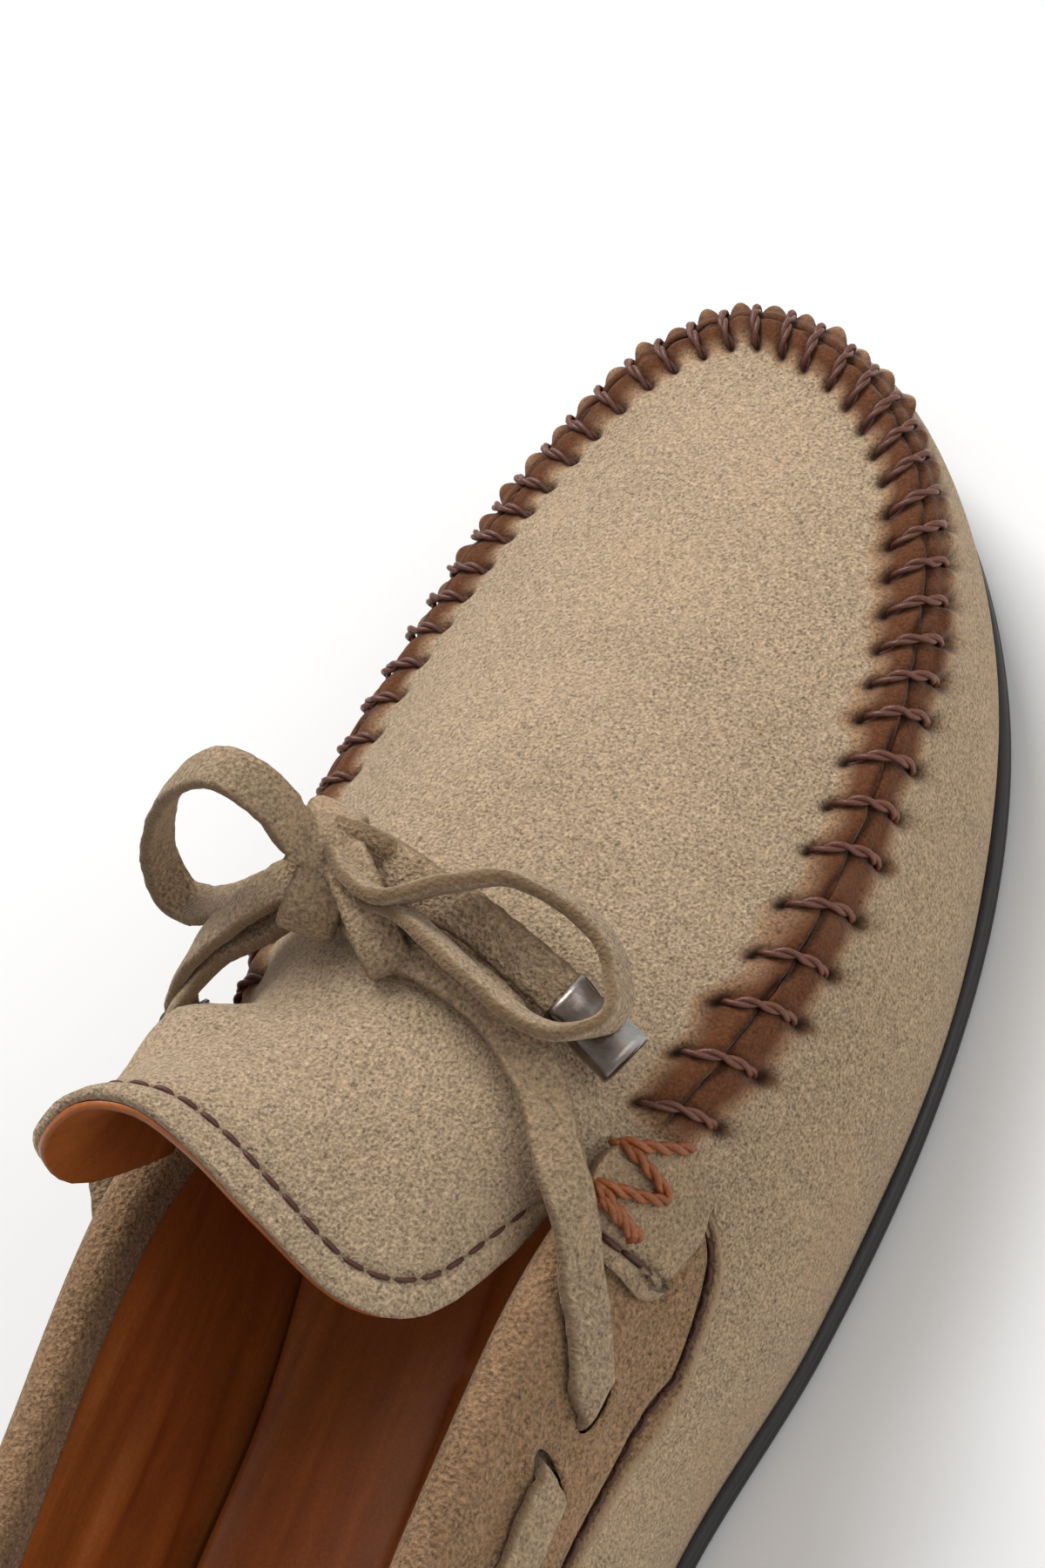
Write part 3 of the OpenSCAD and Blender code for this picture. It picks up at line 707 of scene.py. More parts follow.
def new_material(name, **constants):
    mat = bpy.data.materials.new(name)
    mat.use_nodes = True
    net = Net(mat.node_tree)
    shader = mat.node_tree.nodes["Principled BSDF"]
    for key, value in constants.items():
        shader.inputs[key.replace("_", " ")].default_value = value
    return mat, net, shader


def bump(net, shader, height, strength, distance):
    """Gives a shader its fine relief."""
    node = net.add("Bump", {"Height": height, "Strength": strength, "Distance": distance})
    net.feed(shader, Normal=node.outputs["Normal"])


def mark(net, name):
    """One of the marks that lay() left on the mesh."""
    return net.add("Attribute", attribute_name=name).outputs["Fac"]


def place_group(net, shader, tree, sockets, strength, distance):
    node = net.add("Group", node_tree=tree)
    net.feed(node, Vector=net.place())
    for key, value in sockets.items():
        if isinstance(value, bpy.types.NodeSocket):
            net.tree.links.new(value, node.inputs[key])
        else:
            node.inputs[key].default_value = value
    net.feed(shader, Base_Color=node.outputs["Color"], Roughness=node.outputs["Roughness"])
    bump(net, shader, node.outputs["Height"], strength, distance)
    return node


def suede(name, colour, tufts=2300.0, contrast=0.66, patches=0.09, marked=False, depth=0.0006, edge=None):
    mat, net, shader = new_material(name, Sheen_Weight=0.22, Sheen_Roughness=0.4,
                                    Specular_IOR_Level=0.12)
    shader.inputs["Sheen Tint"].default_value = (1.0, 0.93, 0.84, 1)
    # Painted_Shade_Colour is the near-black brown of the shade painted into grooves, stitch holes and
    # creases.
    sockets = {"Colour": colour, "Burnished": tint(98, 59, 36), "Painted_Shade_Colour": tint(34, 19, 12),
               "Tufts": tufts, "Contrast": contrast, "Patches": patches}
    if marked:
        sockets["Burnish"] = mark(net, "burnish")
        sockets["Painted_Shade"] = mark(net, "dark")
    node = place_group(net, shader, NAP, sockets, 0.75, depth)
    if edge:
        share = net.fit(mark(net, "edge"), 0.82, 1.0)
        net.feed(shader, Base_Color=net.blend(share, node.outputs["Color"], edge))
    return mat


def hide(name, colour, worn):
    """Smooth leather."""
    mat, net, shader = new_material(name, Specular_IOR_Level=0.4, Coat_Weight=0.12, Coat_Roughness=0.35)
    place_group(net, shader, HIDE, {"Colour": colour, "Worn": worn, "Streaks": 0.6}, 0.4, 0.0005)
    return mat


def waxed(name, low, high, rough=0.42):
    """Waxed thread: fibres along the ply, darker where it dives into the leather."""
    mat, net, shader = new_material(name, Specular_IOR_Level=0.5, Coat_Weight=0.15, Coat_Roughness=0.3)
    where = net.place()
    fibre = net.noise(where, 2600.0, 2.0, 0.6, 1.0)
    colour = net.blend(net.fit(mark(net, "tone"), 0.0, 1.0), low, high)
    colour = net.blend(1.0, colour, net.grey(net.fit(fibre, 0.3, 0.7, 0.7, 1.35)), "MULTIPLY")
    net.feed(shader, Base_Color=colour, Roughness=net.fit(fibre, 0.3, 0.7, rough - 0.08, rough + 0.15))
    bump(net, shader, fibre, 0.5, 0.0002)
    return mat


def rubber():
    """Black rubber with a little dust."""
    mat, net, shader = new_material("black_rubber", Specular_IOR_Level=0.45)
    where = net.place()
    grain = net.noise(where, 1400.0, 3.0, 0.6)
    dust = net.noise(where, 55.0, 4.0, 0.6)
    colour = net.blend(net.fit(dust, 0.4, 0.75, 0.0, 0.6), tint(40, 38, 38), tint(66, 63, 60))
    net.feed(shader, Base_Color=colour, Roughness=net.fit(dust, 0.3, 0.7, 0.42, 0.62))
    bump(net, shader, grain, 0.25, 0.0003)
    return mat


def gunmetal():
    """Dark metal sheet, bare and bright at its cut edges."""
    mat, net, shader = new_material("gunmetal", Metallic=1.0)
    where = net.place()
    drawn = net.add("Mapping", {"Vector": where, "Scale": (1.0, 6.0, 6.0)}).outputs["Vector"]
    brush = net.noise(drawn, 420.0, 3.0, 0.6)
    mottle = net.noise(where, 260.0, 3.0, 0.6)
    bare = net.fit(mark(net, "edge"), 0.5, 1.0)
    colour = net.blend(net.fit(mottle, 0.35, 0.7), tint(120, 106, 98), tint(158, 146, 138))
    colour = net.blend(bare, colour, tint(228, 226, 222))
    net.feed(shader, Base_Color=colour, Roughness=net.fit(mottle, 0.3, 0.7, 0.24, 0.42))
    bump(net, shader, brush, 0.15, 0.0002)
    return mat


def board_card(name, colour, fibre_colour, scale):
    mat, net, shader = new_material(name, Specular_IOR_Level=0.2, Roughness=0.9)
    where = net.place()
    fibre = net.noise(where, scale, 4.0, 0.65)
    net.feed(shader, Base_Color=net.blend(net.fit(fibre, 0.35, 0.65), colour, fibre_colour))
    bump(net, shader, fibre, 0.4, 0.0004)
    return mat


TAUPE = suede("apron_suede", tint(172, 149, 122), marked=True)
# The wall's suede is the apron's, a little darker: painted shade on the wall.
SHADED_WALL_SUEDE = suede("wall_suede", tint(168, 144, 116), marked=True)
# The collar's suede is darker than the apron's: partly the band's own colour and partly painted shade.
SHADED_COLLAR_SUEDE = suede("collar_suede", tint(148, 117, 87), tufts=1900.0, contrast=0.62, patches=0.12,
                     marked=True, depth=0.0009, edge=tint(166, 138, 108))
# The tab's darker edge colour is painted shade along its cut edge.
TAB_SUEDE = suede("tab_suede", tint(160, 136, 108), tufts=2100.0, contrast=0.52, marked=True,
                  edge=tint(142, 112, 80))
LACE_SUEDE = suede("lace_suede", tint(160, 137, 110), tufts=1900.0, contrast=0.6, patches=0.14,
                   depth=0.0009, edge=tint(128, 104, 78))
LINING = hide("lining_leather", tint(184, 104, 46), tint(122, 60, 24))
SEAM_THREAD = waxed("seam_thread", tint(86, 52, 44), tint(122, 66, 36))
EAR_THREAD = waxed("ear_thread", tint(128, 66, 26), tint(158, 88, 38))
FINE_THREAD = waxed("fine_thread", tint(72, 34, 22), tint(84, 42, 28), rough=0.6)
RUBBER = rubber()
METAL = gunmetal()

for node_name, look, colour, fibre_colour, fibres in (
        ("insole_board", "board", tint(176, 150, 112), tint(128, 104, 74), 900.0),
        ("footbed_foam", "foam", tint(228, 214, 168), tint(196, 180, 134), 1500.0),
        ("heel_counter", "counter", tint(214, 204, 178), tint(172, 160, 132), 800.0)):
    NODES[node_name].data.materials.clear()
    NODES[node_name].data.materials.append(board_card(look, colour, fibre_colour, fibres))


# ---- camera, light and floor ----
def add_camera():
    """A long lens, close above the heel's outer side, rolled so that the toe points up and to the right."""
    azimuth, height, roll = radians(59.43), radians(52.99), radians(-42.19)
    aim = np.array([-13.2, 55.65, 35.0])
    back = np.array([sin(azimuth) * cos(height), -cos(azimuth) * cos(height), sin(height)])
    right = unit(np.cross(-back, [0, 0, 1]))
    up = np.cross(right, -back)
    level_right = cos(roll) * right + sin(roll) * up
    level_up = cos(roll) * up - sin(roll) * right
    camera = bpy.data.cameras.new("camera")
    camera.sensor_width = 36
    camera.lens = 72.7
    camera.clip_start = 0.01
    obj = bpy.data.objects.new("camera", camera)
    spot = (aim + back * 449.5) * MM
    obj.matrix_world = Matrix([
        [level_right[i], level_up[i], back[i], spot[i]] for i in range(3)] + [[0, 0, 0, 1]])
    bpy.context.scene.collection.objects.link(obj)
    bpy.context.scene.camera = obj


def add_light(name, spot, aim, size, power):
    light = bpy.data.lights.new(name, "AREA")
    light.size = size
    light.energy = power
    obj = bpy.data.objects.new(name, light)
    obj.location = spot
    obj.rotation_euler = (Vector(aim) - Vector(spot)).to_track_quat("-Z", "Y").to_euler()
    bpy.context.scene.collection.objects.link(obj)


def add_studio():
    """White surroundings, two soft lamps and a pale floor."""
    world = bpy.data.worlds.new("studio")
    world.use_nodes = True
    world.node_tree.nodes["Background"].inputs["Color"].default_value = (1, 1, 1, 1)
    world.node_tree.nodes["Background"].inputs["Strength"].default_value = 0.42
    scene = bpy.context.scene
    scene.world = world
    scene.view_settings.view_transform = "Standard"
    add_light("key", (-0.55, 0.75, 1.1), (0, 0.03, 0.03), 0.6, 15.0)
    add_light("fill", (1.1, 0.3, 0.75), (0, 0.03, 0.03), 0.9, 4.5)
    bm = bmesh.new()
    bmesh.ops.create_grid(bm, x_segments=8, y_segments=8, size=4.0)
    bmesh.ops.translate(bm, verts=bm.verts[:], vec=(0, 0, -0.0002))
    mesh = bpy.data.meshes.new("floor")
    bm.to_mesh(mesh)
    bm.free()
    mat, net, shader = new_material("pale_floor", Specular_IOR_Level=0.1)
    grain = net.noise(net.place(), 3.0, 2.0, 0.5)
    net.feed(shader, Base_Color=net.grey(net.fit(grain, 0.3, 0.7, 0.93, 0.96)))
    shader.inputs["Roughness"].default_value = 0.9
    mesh.materials.append(mat)
    floor = bpy.data.objects.new("floor", mesh)
    bpy.context.scene.collection.objects.link(floor)


add_camera()
add_studio()


# ---- the lace: two free halves tied in a bow, and the strip threaded through the collar ----
LACE_W = 6.5
LACE_T = 2.2
LACE_DOWN = 12.0
# Stations of the slots from the ear to the heel: in at the first, out at the next, and so on.
SLOTS = [4.97, 4.6, 3.55, 3.1, 2.2]


def aglet_box(name, tip, heading, flat):
    """A strip of sheet metal folded round the lace's end: two leaves, a round fold and an open edge."""
    bm = start()
    length, width, height, sheet_t = 11.0, 7.0, 3.0, 0.55
    h, w = height / 2, width / 2
    section = [(w, -h + 0.15), (-w + h, -h)]
    section += [(-w + h - h * sin(a), -h * cos(a)) for a in np.linspace(0.2, pi - 0.2, 9)]
    section += [(-w + h, h), (w, h - 0.15)]
    section = np.array(section)
    normal = unit(np.gradient(section, axis=0))[:, ::-1] * [1, -1]
    closed = np.concatenate([section, (section - normal * sheet_t)[::-1]])
    line = tip + heading * np.linspace(0, length, 12)[:, None]
    edge = np.zeros(len(closed) + 1)
    edge[[0, len(section) - 1, len(section), len(closed) - 1, len(closed)]] = 1
    grip = 1 - 0.10 * bell(np.linspace(0, length, 12) - 3.0, 1.2)
    pipe(bm, line, np.broadcast_to(flat, line.shape), closed, scale=grip, edge=edge[None, :])
    return finish_piece(bm, name + "_sheet", METAL, SHOE, [name])


def make_cord(name, legs, sides, stands_for, aglet):
    """One half of the lace: its legs in one smooth run. sides says which way its width points on each."""
    guide = np.concatenate([np.asarray(leg, float) for leg in legs])
    sides = np.concatenate([
        np.broadcast_to(np.array(x, float), (len(leg), 3)) for leg, x in zip(legs, sides)])
    both = curve(np.concatenate([guide, sides * 0.01], axis=1), 0.7)
    path, side = both[:, :3], both[:, 3:] * 100
    for _ in range(6):
        side[1:-1] = unit(side[:-2] + 2 * side[1:-1] + side[2:])
    bm = start()
    strap(bm, path, side, LACE_W, LACE_T)
    obj = finish_piece(bm, name, LACE_SUEDE, SHOE, stands_for)
    end = path[-1]
    heading = unit(path[-1] - path[-8])
    flat = unit(side[-1] - heading * (side[-1] @ heading))
    tag = aglet_box(aglet, end - heading * 2.5, heading, flat)
    return obj


UPRIGHT = [0.15, -0.35, 0.92]      # the way the outer loop's width points, so that it stands on its edge


def out_of_slot(*stations):
    """The lace's first three points, from inside the collar out through its first slot."""
    return on_wall(stations, [13.5, 13.2, 12.2], [-2.2, 0.4, 2.5])


make_cord(
    "lace_outer_half",
    [out_of_slot(4.92, 4.95, 4.97), route_outer, [[-7, 23, 76]], route_loop_inner,
     [[-10, 23.5, 74.5]], route_tail_inner],
    [[[0.09, 0.99, -0.09]], [[0.1, 0.98, 0.0]], [[0.3, 0.9, 0.2]], [[0.1, 0.9, -0.2]], [[0.2, 0.9, 0.0]],
     [[0.3, 0.9, 0.2]]],
    ["lace_outer", "bow_loop_inner", "lace_tail_inner"], "aglet_inner")
make_cord(
    "lace_inner_half",
    [out_of_slot(19.08, 19.05, 19.03), route_inner[1:], [[-8, 23, 75.5]], route_loop_outer,
     [[-5, 23, 78]], route_tail_outer],
    [[[0.09, 0.99, -0.06]], [[0.1, 0.98, 0.0]], [[0.3, 0.9, 0.2]], [UPRIGHT], [[0.2, 0.9, 0.3]],
     [[0.2, 0.95, 0.2]]],
    ["lace_inner", "bow_loop_outer", "lace_tail_outer"], "aglet_outer")


def at_knot(*places):
    """Points given along the bow, up the shoe and out of it, all from the middle of the knot."""
    return KNOT + np.array(places, float) @ np.array([[0.84, 0.365, -0.404], [-0.168, 0.879, 0.446],
                                                      [0.518, -0.306, 0.799]])


def make_knot():
    """The knot: a core, the wrap pulled over it, the strand that enters at its side, and the folded end."""
    bm = start()
    a = np.linspace(0, 2 * pi, 60)
    along = -1.6 + 2.6 * np.sin(a) + 0.9 * (a / pi - 1)
    wrap = np.stack([along, 7.4 * np.sin(a), 1.0 + 5.6 * np.cos(a)], -1)
    strap(bm, at_knot(*wrap), at_knot([0.93, -0.36, 0.0]) - KNOT, 7.6, 2.4, seed=31)
    core = curve(at_knot([-4, 0.5, -0.5], [0, 0.5, 0.6], [5, -0.5, -0.5]), 0.6)
    pipe(bm, core, [0, 1, 0], round_ring(5.0, 16), scale=np.sin(np.linspace(0.6, pi - 0.6, len(core))))
    hitch = curve(at_knot([0.5, 4.4, 4.0], [4, 3.2, 5.0], [8, 0.8, 4.0], [11.5, -2.5, 1.5]), 0.5)
    strap(bm, hitch, at_knot([0.3, 0.75, 0.55]) - KNOT, 5.6, 2.2, seed=41)
    fold = curve(at_knot([1.0, 2.6, 5.5], [2.8, -1.0, 8.8], [4.8, -5.5, 11.0], [6.6, -9.6, 11.4],
                         [7.6, -11.6, 10.2], [7.4, -11.0, 8.2], [6.0, -8.0, 7.8]), 0.5)
    strap(bm, fold, at_knot([0.91, 0.41, 0.0]) - KNOT, 6.4, 2.2, seed=51)
    finish_piece(bm, "bow_knot_wraps", LACE_SUEDE, SHOE, ["bow_knot"])


make_knot()


# ---- the apron and tongue: one piece of suede ----
FLEX = ((0, 7 * MM, 0), (0, -6 * MM, 0))
SEAM_COLUMNS = np.concatenate([
    np.arange(MEET, 1.2, 0.35), np.arange(1.2, 6.6, 0.4), np.arange(6.6, 9.4, 0.7), [9.5, 10.8, 12.4]])
INNER_COLUMNS = np.linspace(0, 1, 20)[1:] ** 0.9
TONGUE_ROWS = 34
HEM_ROWS = 14                      # this many of them lie close together along the free edge,
HEM_WIDE = 7.5                     # within this distance from it
TONGUE_HEM = 4.6                   # the lockstitch runs this far inside the tongue's edge


def tongue(u, v):
    """The tongue's top face: v is 0 at the apron and 1 at the free edge."""
    row = np.linalg.norm(rim(EAR_OUT) - rim(EAR_IN))
    inset = (SUEDE + GAP + 0.5) / row * smooth(0, 0.2, v)
    across = inset + (1 - 2 * inset) * u
    zero = np.zeros_like(across)
    start_pt, lead = apron(zero, across), apron(zero + 0.6, across)
    tip = line_at(tongue_edge, u * (len(tongue_edge) - 1))
    turn_pt = start_pt + (start_pt - lead) * 0.6
    v = v[..., None]
    return start_pt * (1 - v) ** 2 + turn_pt * 2 * v * (1 - v) + tip * v * v


def top_nets(every=1, seam_columns=SEAM_COLUMNS):
    """The apron's net, from the seam to the spine at each station, and the tongue's net behind it."""
    rows = np.arange(0, len(seam.s), every)
    s = seam.s[rows]
    near = np.broadcast_to(seam_columns, (len(s), len(seam_columns)))
    skin = seam.sample(seam.skin, s[:, None], near)
    total = seam.run[rows, -1:]
    far_q = near[:, -1:] + (total - near[:, -1:]) * INNER_COLUMNS
    far = along_lines(seam.lines[rows], seam.run[rows], far_q)
    fan = np.concatenate([skin, far], axis=1)
    marks = {}
    # The seam's burnish and its painted shade, faded out at the ears.
    for name in ("burnish", "dark"):
        value = seam.sample(getattr(seam, name), s[:, None], near)
        marks[name] = np.concatenate([value * seam_ends(s)[:, None], np.zeros(far_q.shape)], axis=1)
    first_row = np.concatenate([fan[0], fan[-1, ::-1][1:]])
    a, b = rim(EAR_OUT)[:2], rim(EAR_IN)[:2]
    u = ((first_row[:, :2] - a) @ (b - a)) / ((b - a) @ (b - a))
    low, high = min(u[0], 0), max(u[-1], 1)
    u = (u - low) / (high - low)
    fine = np.linspace(0, 1, 80)
    columns = tongue(np.broadcast_to(u[:, None], (len(u), 80)), np.broadcast_to(fine, (len(u), 80)))
    run = lengths(columns, axis=1)
    left = np.minimum(HEM_WIDE, run[:, -1] * 0.45)
    body = np.linspace(0, 1, TONGUE_ROWS - HEM_ROWS, endpoint=False)[:, None] * (run[:, -1] - left)
    hem = run[:, -1] - np.linspace(1, 0, HEM_ROWS)[:, None] * left
    at = np.concatenate([body, hem])
    v = np.array([[np.interp(row[j], run[j], fine) for j in range(len(u))] for row in at])
    net = tongue(np.broadcast_to(u, v.shape), v)
    gap_to_edge = run[:, -1] - np.array([[np.interp(v[i, j], fine, run[j]) for j in range(len(u))]
                                         for i in range(TONGUE_ROWS)])
    fit = (first_row - tongue(u, np.zeros_like(u)))[None] * (1 - smooth(0, 0.3, v))[..., None]
    shoulder = bell(u[None, :] - 0.86, 0.14) * smooth(0.0, 0.3, v) * smooth(1.0, 0.35, v)
    net = net + fit + shoulder[..., None] * [-4.5, 0, 7.0]
    return fan[::-1], {k: m[::-1] for k, m in marks.items()}, net, gap_to_edge


def surface_normals(net):
    return unit(np.cross(np.gradient(net, axis=1), np.gradient(net, axis=0)))


def make_top():
    """The apron and the tongue, which are one piece of suede."""
    fan, marks, net, from_edge = top_nets()
    bm = start()
    lay(bm, fan, **marks)
    up = surface_normals(net)
    inner = smooth(0.0, 0.25, np.linspace(0, 1, len(net)))[:, None]
    relief = (-0.45 * bell(from_edge - TONGUE_HEM, 0.7) + 0.25 * bell(from_edge - 2.2, 1.6)
              + 0.35 * ripple(net, 26, 61) * smooth(0, 8, from_edge)) * inner
    rag = ripple(net, 1.6, 62) * 0.14 * smooth(1.0, 0, from_edge)
    net = net + up * (relief + rag)[..., None]
    # Painted shade darkens the groove along the tongue's lockstitch.
    lay(bm, net, dark=0.35 * bell(from_edge - TONGUE_HEM, 0.55) * inner)
    thicken(bm, SUEDE)
    finish_piece(bm, "apron_and_tongue", TAUPE, SHOE, ["apron_plug", "tongue_flap"], blend=FLEX)


make_top()


# ---- the side wall ----
WALL_TOP_BEHIND = 17.0             # the wall stops this far below the rim, under the collar band


def wall_rows():
    """Stations all round: close together along the seam, wider apart behind the ears."""
    behind = np.linspace(EAR_IN, TURN + EAR_OUT, 170)[1:]
    return np.concatenate([seam.s, behind])


def make_wall():
    """The side wall, from under the apron's edge or the collar down to its turned-in foot."""
    s = wall_rows()
    folded = np.where(s > TURN, s - TURN, s)
    rear = (s > EAR_IN)
    from_ear = np.where(rear, np.minimum(s - EAR_IN, TURN + EAR_OUT - s), 0)
    top = mix(-MEET, WALL_TOP_BEHIND, smooth(0.0, 0.4, from_ear))
    near = np.concatenate([np.arange(0, 7.2, 0.4), np.arange(7.6, 12.6, 0.8)])
    rest = np.linspace(0, 1, 14)[1:]
    down_near = top[:, None] + near[None, :]
    whole = wall_len(s)[:, None]
    down = np.concatenate([down_near, mix(down_near[:, -1:], whole, rest[None, :])], axis=1)
    grid_s = np.broadcast_to(folded[:, None], down.shape)
    net = wall_skin(grid_s, down)
    # The foot of the wall turns in under the insole.
    turned = []
    for inset, z in ((3.2, 0.05), (6.0, 0.0)):
        q = edge_in(folded, np.full(len(s), inset))
        turned.append(np.concatenate([q, (SOLE_T + GAP + z + lift(q[:, 1]))[:, None]], -1)[:, None])
    net = np.concatenate([net] + turned, axis=1)
    front = ((grid_s > EAR_OUT) & (grid_s < EAR_IN))
    marks = {}
    # The seam's burnish and its painted shade reach down onto the wall.
    for name in ("burnish", "dark"):
        value = seam.sample(getattr(seam, name), grid_s, np.maximum(-down, -REACH))
        value = np.where(front, value * seam_ends(grid_s), 0) * smooth(13.5, 11, down)
        marks[name] = np.concatenate([value, np.zeros((len(s), 2))], axis=1)
    bm = start()
    lay(bm, net, **marks)
    thicken(bm, SUEDE)
    finish_piece(bm, "side_wall_suede", SHADED_WALL_SUEDE, SHOE, ["side_wall"])


make_wall()


# ---- the hand stitches over the seam ----
THREAD = 0.72                      # radius of the waxed thread
EAR_THREAD_R = 0.85                # and of the thicker one on the ear tabs
THREAD_TURN = 7.5                  # the two plies wind round each other once in this length
EAR_THREAD_TURN = 5.5


def make_seam_stitches():
    """The slanted whip stitches over the ridge, each diving into its two holes."""
    bm = start()
    t = np.linspace(-1, 1, 26)
    for arc in seam.stitches:
        q = mix(PLUG_STITCH, -WALL_STITCH, (t + 1) / 2) + t * rng.uniform(-0.3, 0.3)
        at = arc + SLANT * -q + rng.uniform(-0.25, 0.25) * t
        s = np.interp(at, seam.arc, seam.s)
        point = seam.sample(seam.skin, s, q)
        normal = unit(seam.sample(seam.normal, s, q))
        high = 0.62 + 0.35 * bell(t, 0.55) - 2.4 * np.abs(t) ** 9
        path = point + normal * high[:, None]
        path[1:-1] = (path[:-2] + 2 * path[1:-1] + path[2:]) / 4
        two_ply(bm, path, normal, THREAD, THREAD_TURN + rng.uniform(-0.8, 0.8))
    finish_piece(bm, "seam_hand_stitches", SEAM_THREAD, SHOE, ["apron_stitches"])


make_seam_stitches()


FINE_PITCH = 3.45                  # from one machine stitch to the next
FINE_R = 0.36                      # radius of the machine thread


def dashes(bm, line, normal):
    """A row of machine stitches along a line: short threads that dive at both ends."""
    run = lengths(line)
    n = int(run[-1] / FINE_PITCH)
    whole = run[-1] / n
    t = np.linspace(0, 1, 7)
    for i in range(n):
        at = whole * (i + 0.06 + 0.86 * t)
        p = np.stack([np.interp(at, run, line[:, k]) for k in range(3)], -1)
        up = unit(np.stack([np.interp(at, run, normal[:, k]) for k in range(3)], -1))
        high = FINE_R * 0.8 - 0.1 - 0.75 * np.abs(2 * t - 1) ** 4
        pipe(bm, p + up * high[:, None], up, round_ring(FINE_R, 6), tone=0.5)


def make_tongue_thread():
    """The machine stitches along the tongue's hem."""
    _, _, net, from_edge = top_nets(every=8)
    up = surface_normals(net)
    cols = [j for j in range(net.shape[1]) if from_edge[0, j] > 20]
    line, normal = [], []
    for j in cols:
        order = np.argsort(from_edge[:, j])
        line.append([np.interp(TONGUE_HEM, from_edge[order, j], net[order, j, k]) for k in range(3)])
        normal.append([np.interp(TONGUE_HEM, from_edge[order, j], up[order, j, k]) for k in range(3)])
    line, normal = np.array(line), np.array(normal)
    bm = start()
    dashes(bm, line - normal * 0.35, normal)
    finish_piece(bm, "tongue_lockstitch", FINE_THREAD, TONGUE, ["tongue_thread"])


make_tongue_thread()


# ---- linings ----
UNDER_SUEDE = SUEDE + 0.12         # the top lining lies this far under the suede's outer face
LINING_DEPTH = 2.5                 # the wall's lining lies this far inside the wall's outer face


def make_top_lining():
    """The lining leather under the apron and the tongue."""
    fan, _, net, from_edge = top_nets(every=5, seam_columns=np.array([3.6, 5.2, 7.0, 9.5, 12.0]))
    bm = start()
    fan_up = surface_normals(fan)
    net_up = surface_normals(net)
    inner = smooth(0.0, 0.25, np.linspace(0, 1, len(net)))[:, None]
    net_low = net - net_up * UNDER_SUEDE
    fan_low = fan - fan_up * UNDER_SUEDE
    join = (net_low[0] + np.concatenate([fan_low[-1], fan_low[0, ::-1][1:]])) / 2
    net_low[0] = join
    m = fan_low.shape[1]
    fan_low[-1] = join[:m]
    fan_low[0] = join[m - 1:][::-1]
    # The middle line of the apron is shared by both halves.
    mirror = fan_low[::-1, -1]
    fan_low[:, -1] = (fan_low[:, -1] + mirror) / 2
    net_low = net_low + net_up * (0.4 * ripple(net, 11, 71) * inner * smooth(0, 5, from_edge))[..., None]
    lay(bm, fan_low)
    lay(bm, net_low)
    thicken(bm, LINING_T)
    finish_piece(bm, "apron_and_tongue_lining", LINING, SHOE,
                 ["plug_lining", "tongue_lining"], blend=FLEX)


make_top_lining()


def make_wall_lining():
    """The lining leather round the inside, with soft creases along the shoe."""
    s = np.linspace(0, TURN, 420)
    front = smooth(5.75, 6.1, s) * smooth(18.25, 17.9, s)
    top = mix(3.0, 5.0, front)
    down = mix(top[:, None], (wall_len(s) * 0.94)[:, None], np.linspace(0, 1, 46)[None, :])
    grid_s = np.broadcast_to(s[:, None], down.shape)
    base = on_wall(grid_s, down, -LINING_DEPTH)
    inward = -wall_out(grid_s, 1 - down / wall_len(grid_s))
    long_way = np.stack([base[..., 0] * 0.9, base[..., 1] * 0.16, base[..., 2] * 1.2], -1)
    creases = ripple(long_way, 7.5, 81, 9)
    soft = 0.75 * np.maximum(creases, -0.2) + 0.3 * ripple(long_way, 3.2, 82) * smooth(-0.2, 0.8, creases)
    soft = soft * smooth(0, 8, down - top[:, None])
    net = base + inward * (1.0 + soft)[..., None]
    net[-1] = net[0]
    bm = start()
    lay(bm, net, flip=True)
    thicken(bm, LINING_T)
    finish_piece(bm, "wall_lining_leather", LINING, SHOE, ["wall_lining"])


make_wall_lining()


# ---- the collar ----
BAND_FROM, BAND_TO = 0.3, 5.99
BAND_FACE = 1.55                   # the band's outer face stands this far outside the wall
ROLL = 3.3                         # radius of the rolled top edge
ROLL_MIDDLE = 1.7                  # the roll's middle is this far below the rim
BAND_INSIDE = 3.6                  # the band goes down this far inside
# How far down the band reaches at each station, from the heel to its rounded front end.
band_low = [[0.3, 23], [3.0, 23], [4.55, 24], [4.9, 25], [5.15, 25.8], [5.4, 25], [5.62, 21.8], [5.75, 19.8],
            [5.86, 17.6], [5.94, 14.6], [5.99, 11.5]]
# Half of each slot's width along the shoe, half of its height, and how far its middle is below the rim:
# the first lies flat, the others stand upright.
SLOT_SHAPES = [(3.9, 2.0, 12.9), (1.9, 4.1, 12.0), (1.6, 4.0, 12.0), (1.6, 4.0, 12.0), (1.6, 4.0, 12.0)]
STATION = 30.0                     # millimetres in one station on the side of the collar


def band_depth(s):
    """How far down the collar band reaches."""
    guide = np.array(band_low, float)
    return np.interp(s, guide[:, 0], guide[:, 1])


def band_groove(s):
    """How far above the band's low edge its stitches run: higher where it is widest."""
    return 2.3 + 1.3 * bell(s - 5.18, 0.2)


def over_roll(c, radius):
    """How far down and out a face is that goes over the roll, c millimetres along its section, + inside."""
    angle = np.clip(c, 0, pi * ROLL) / ROLL
    flat = np.maximum(-c, 0) + np.maximum(c - pi * ROLL, 0)
    return ROLL_MIDDLE + flat - radius * np.sin(angle), BAND_FACE - ROLL + radius * np.cos(angle)


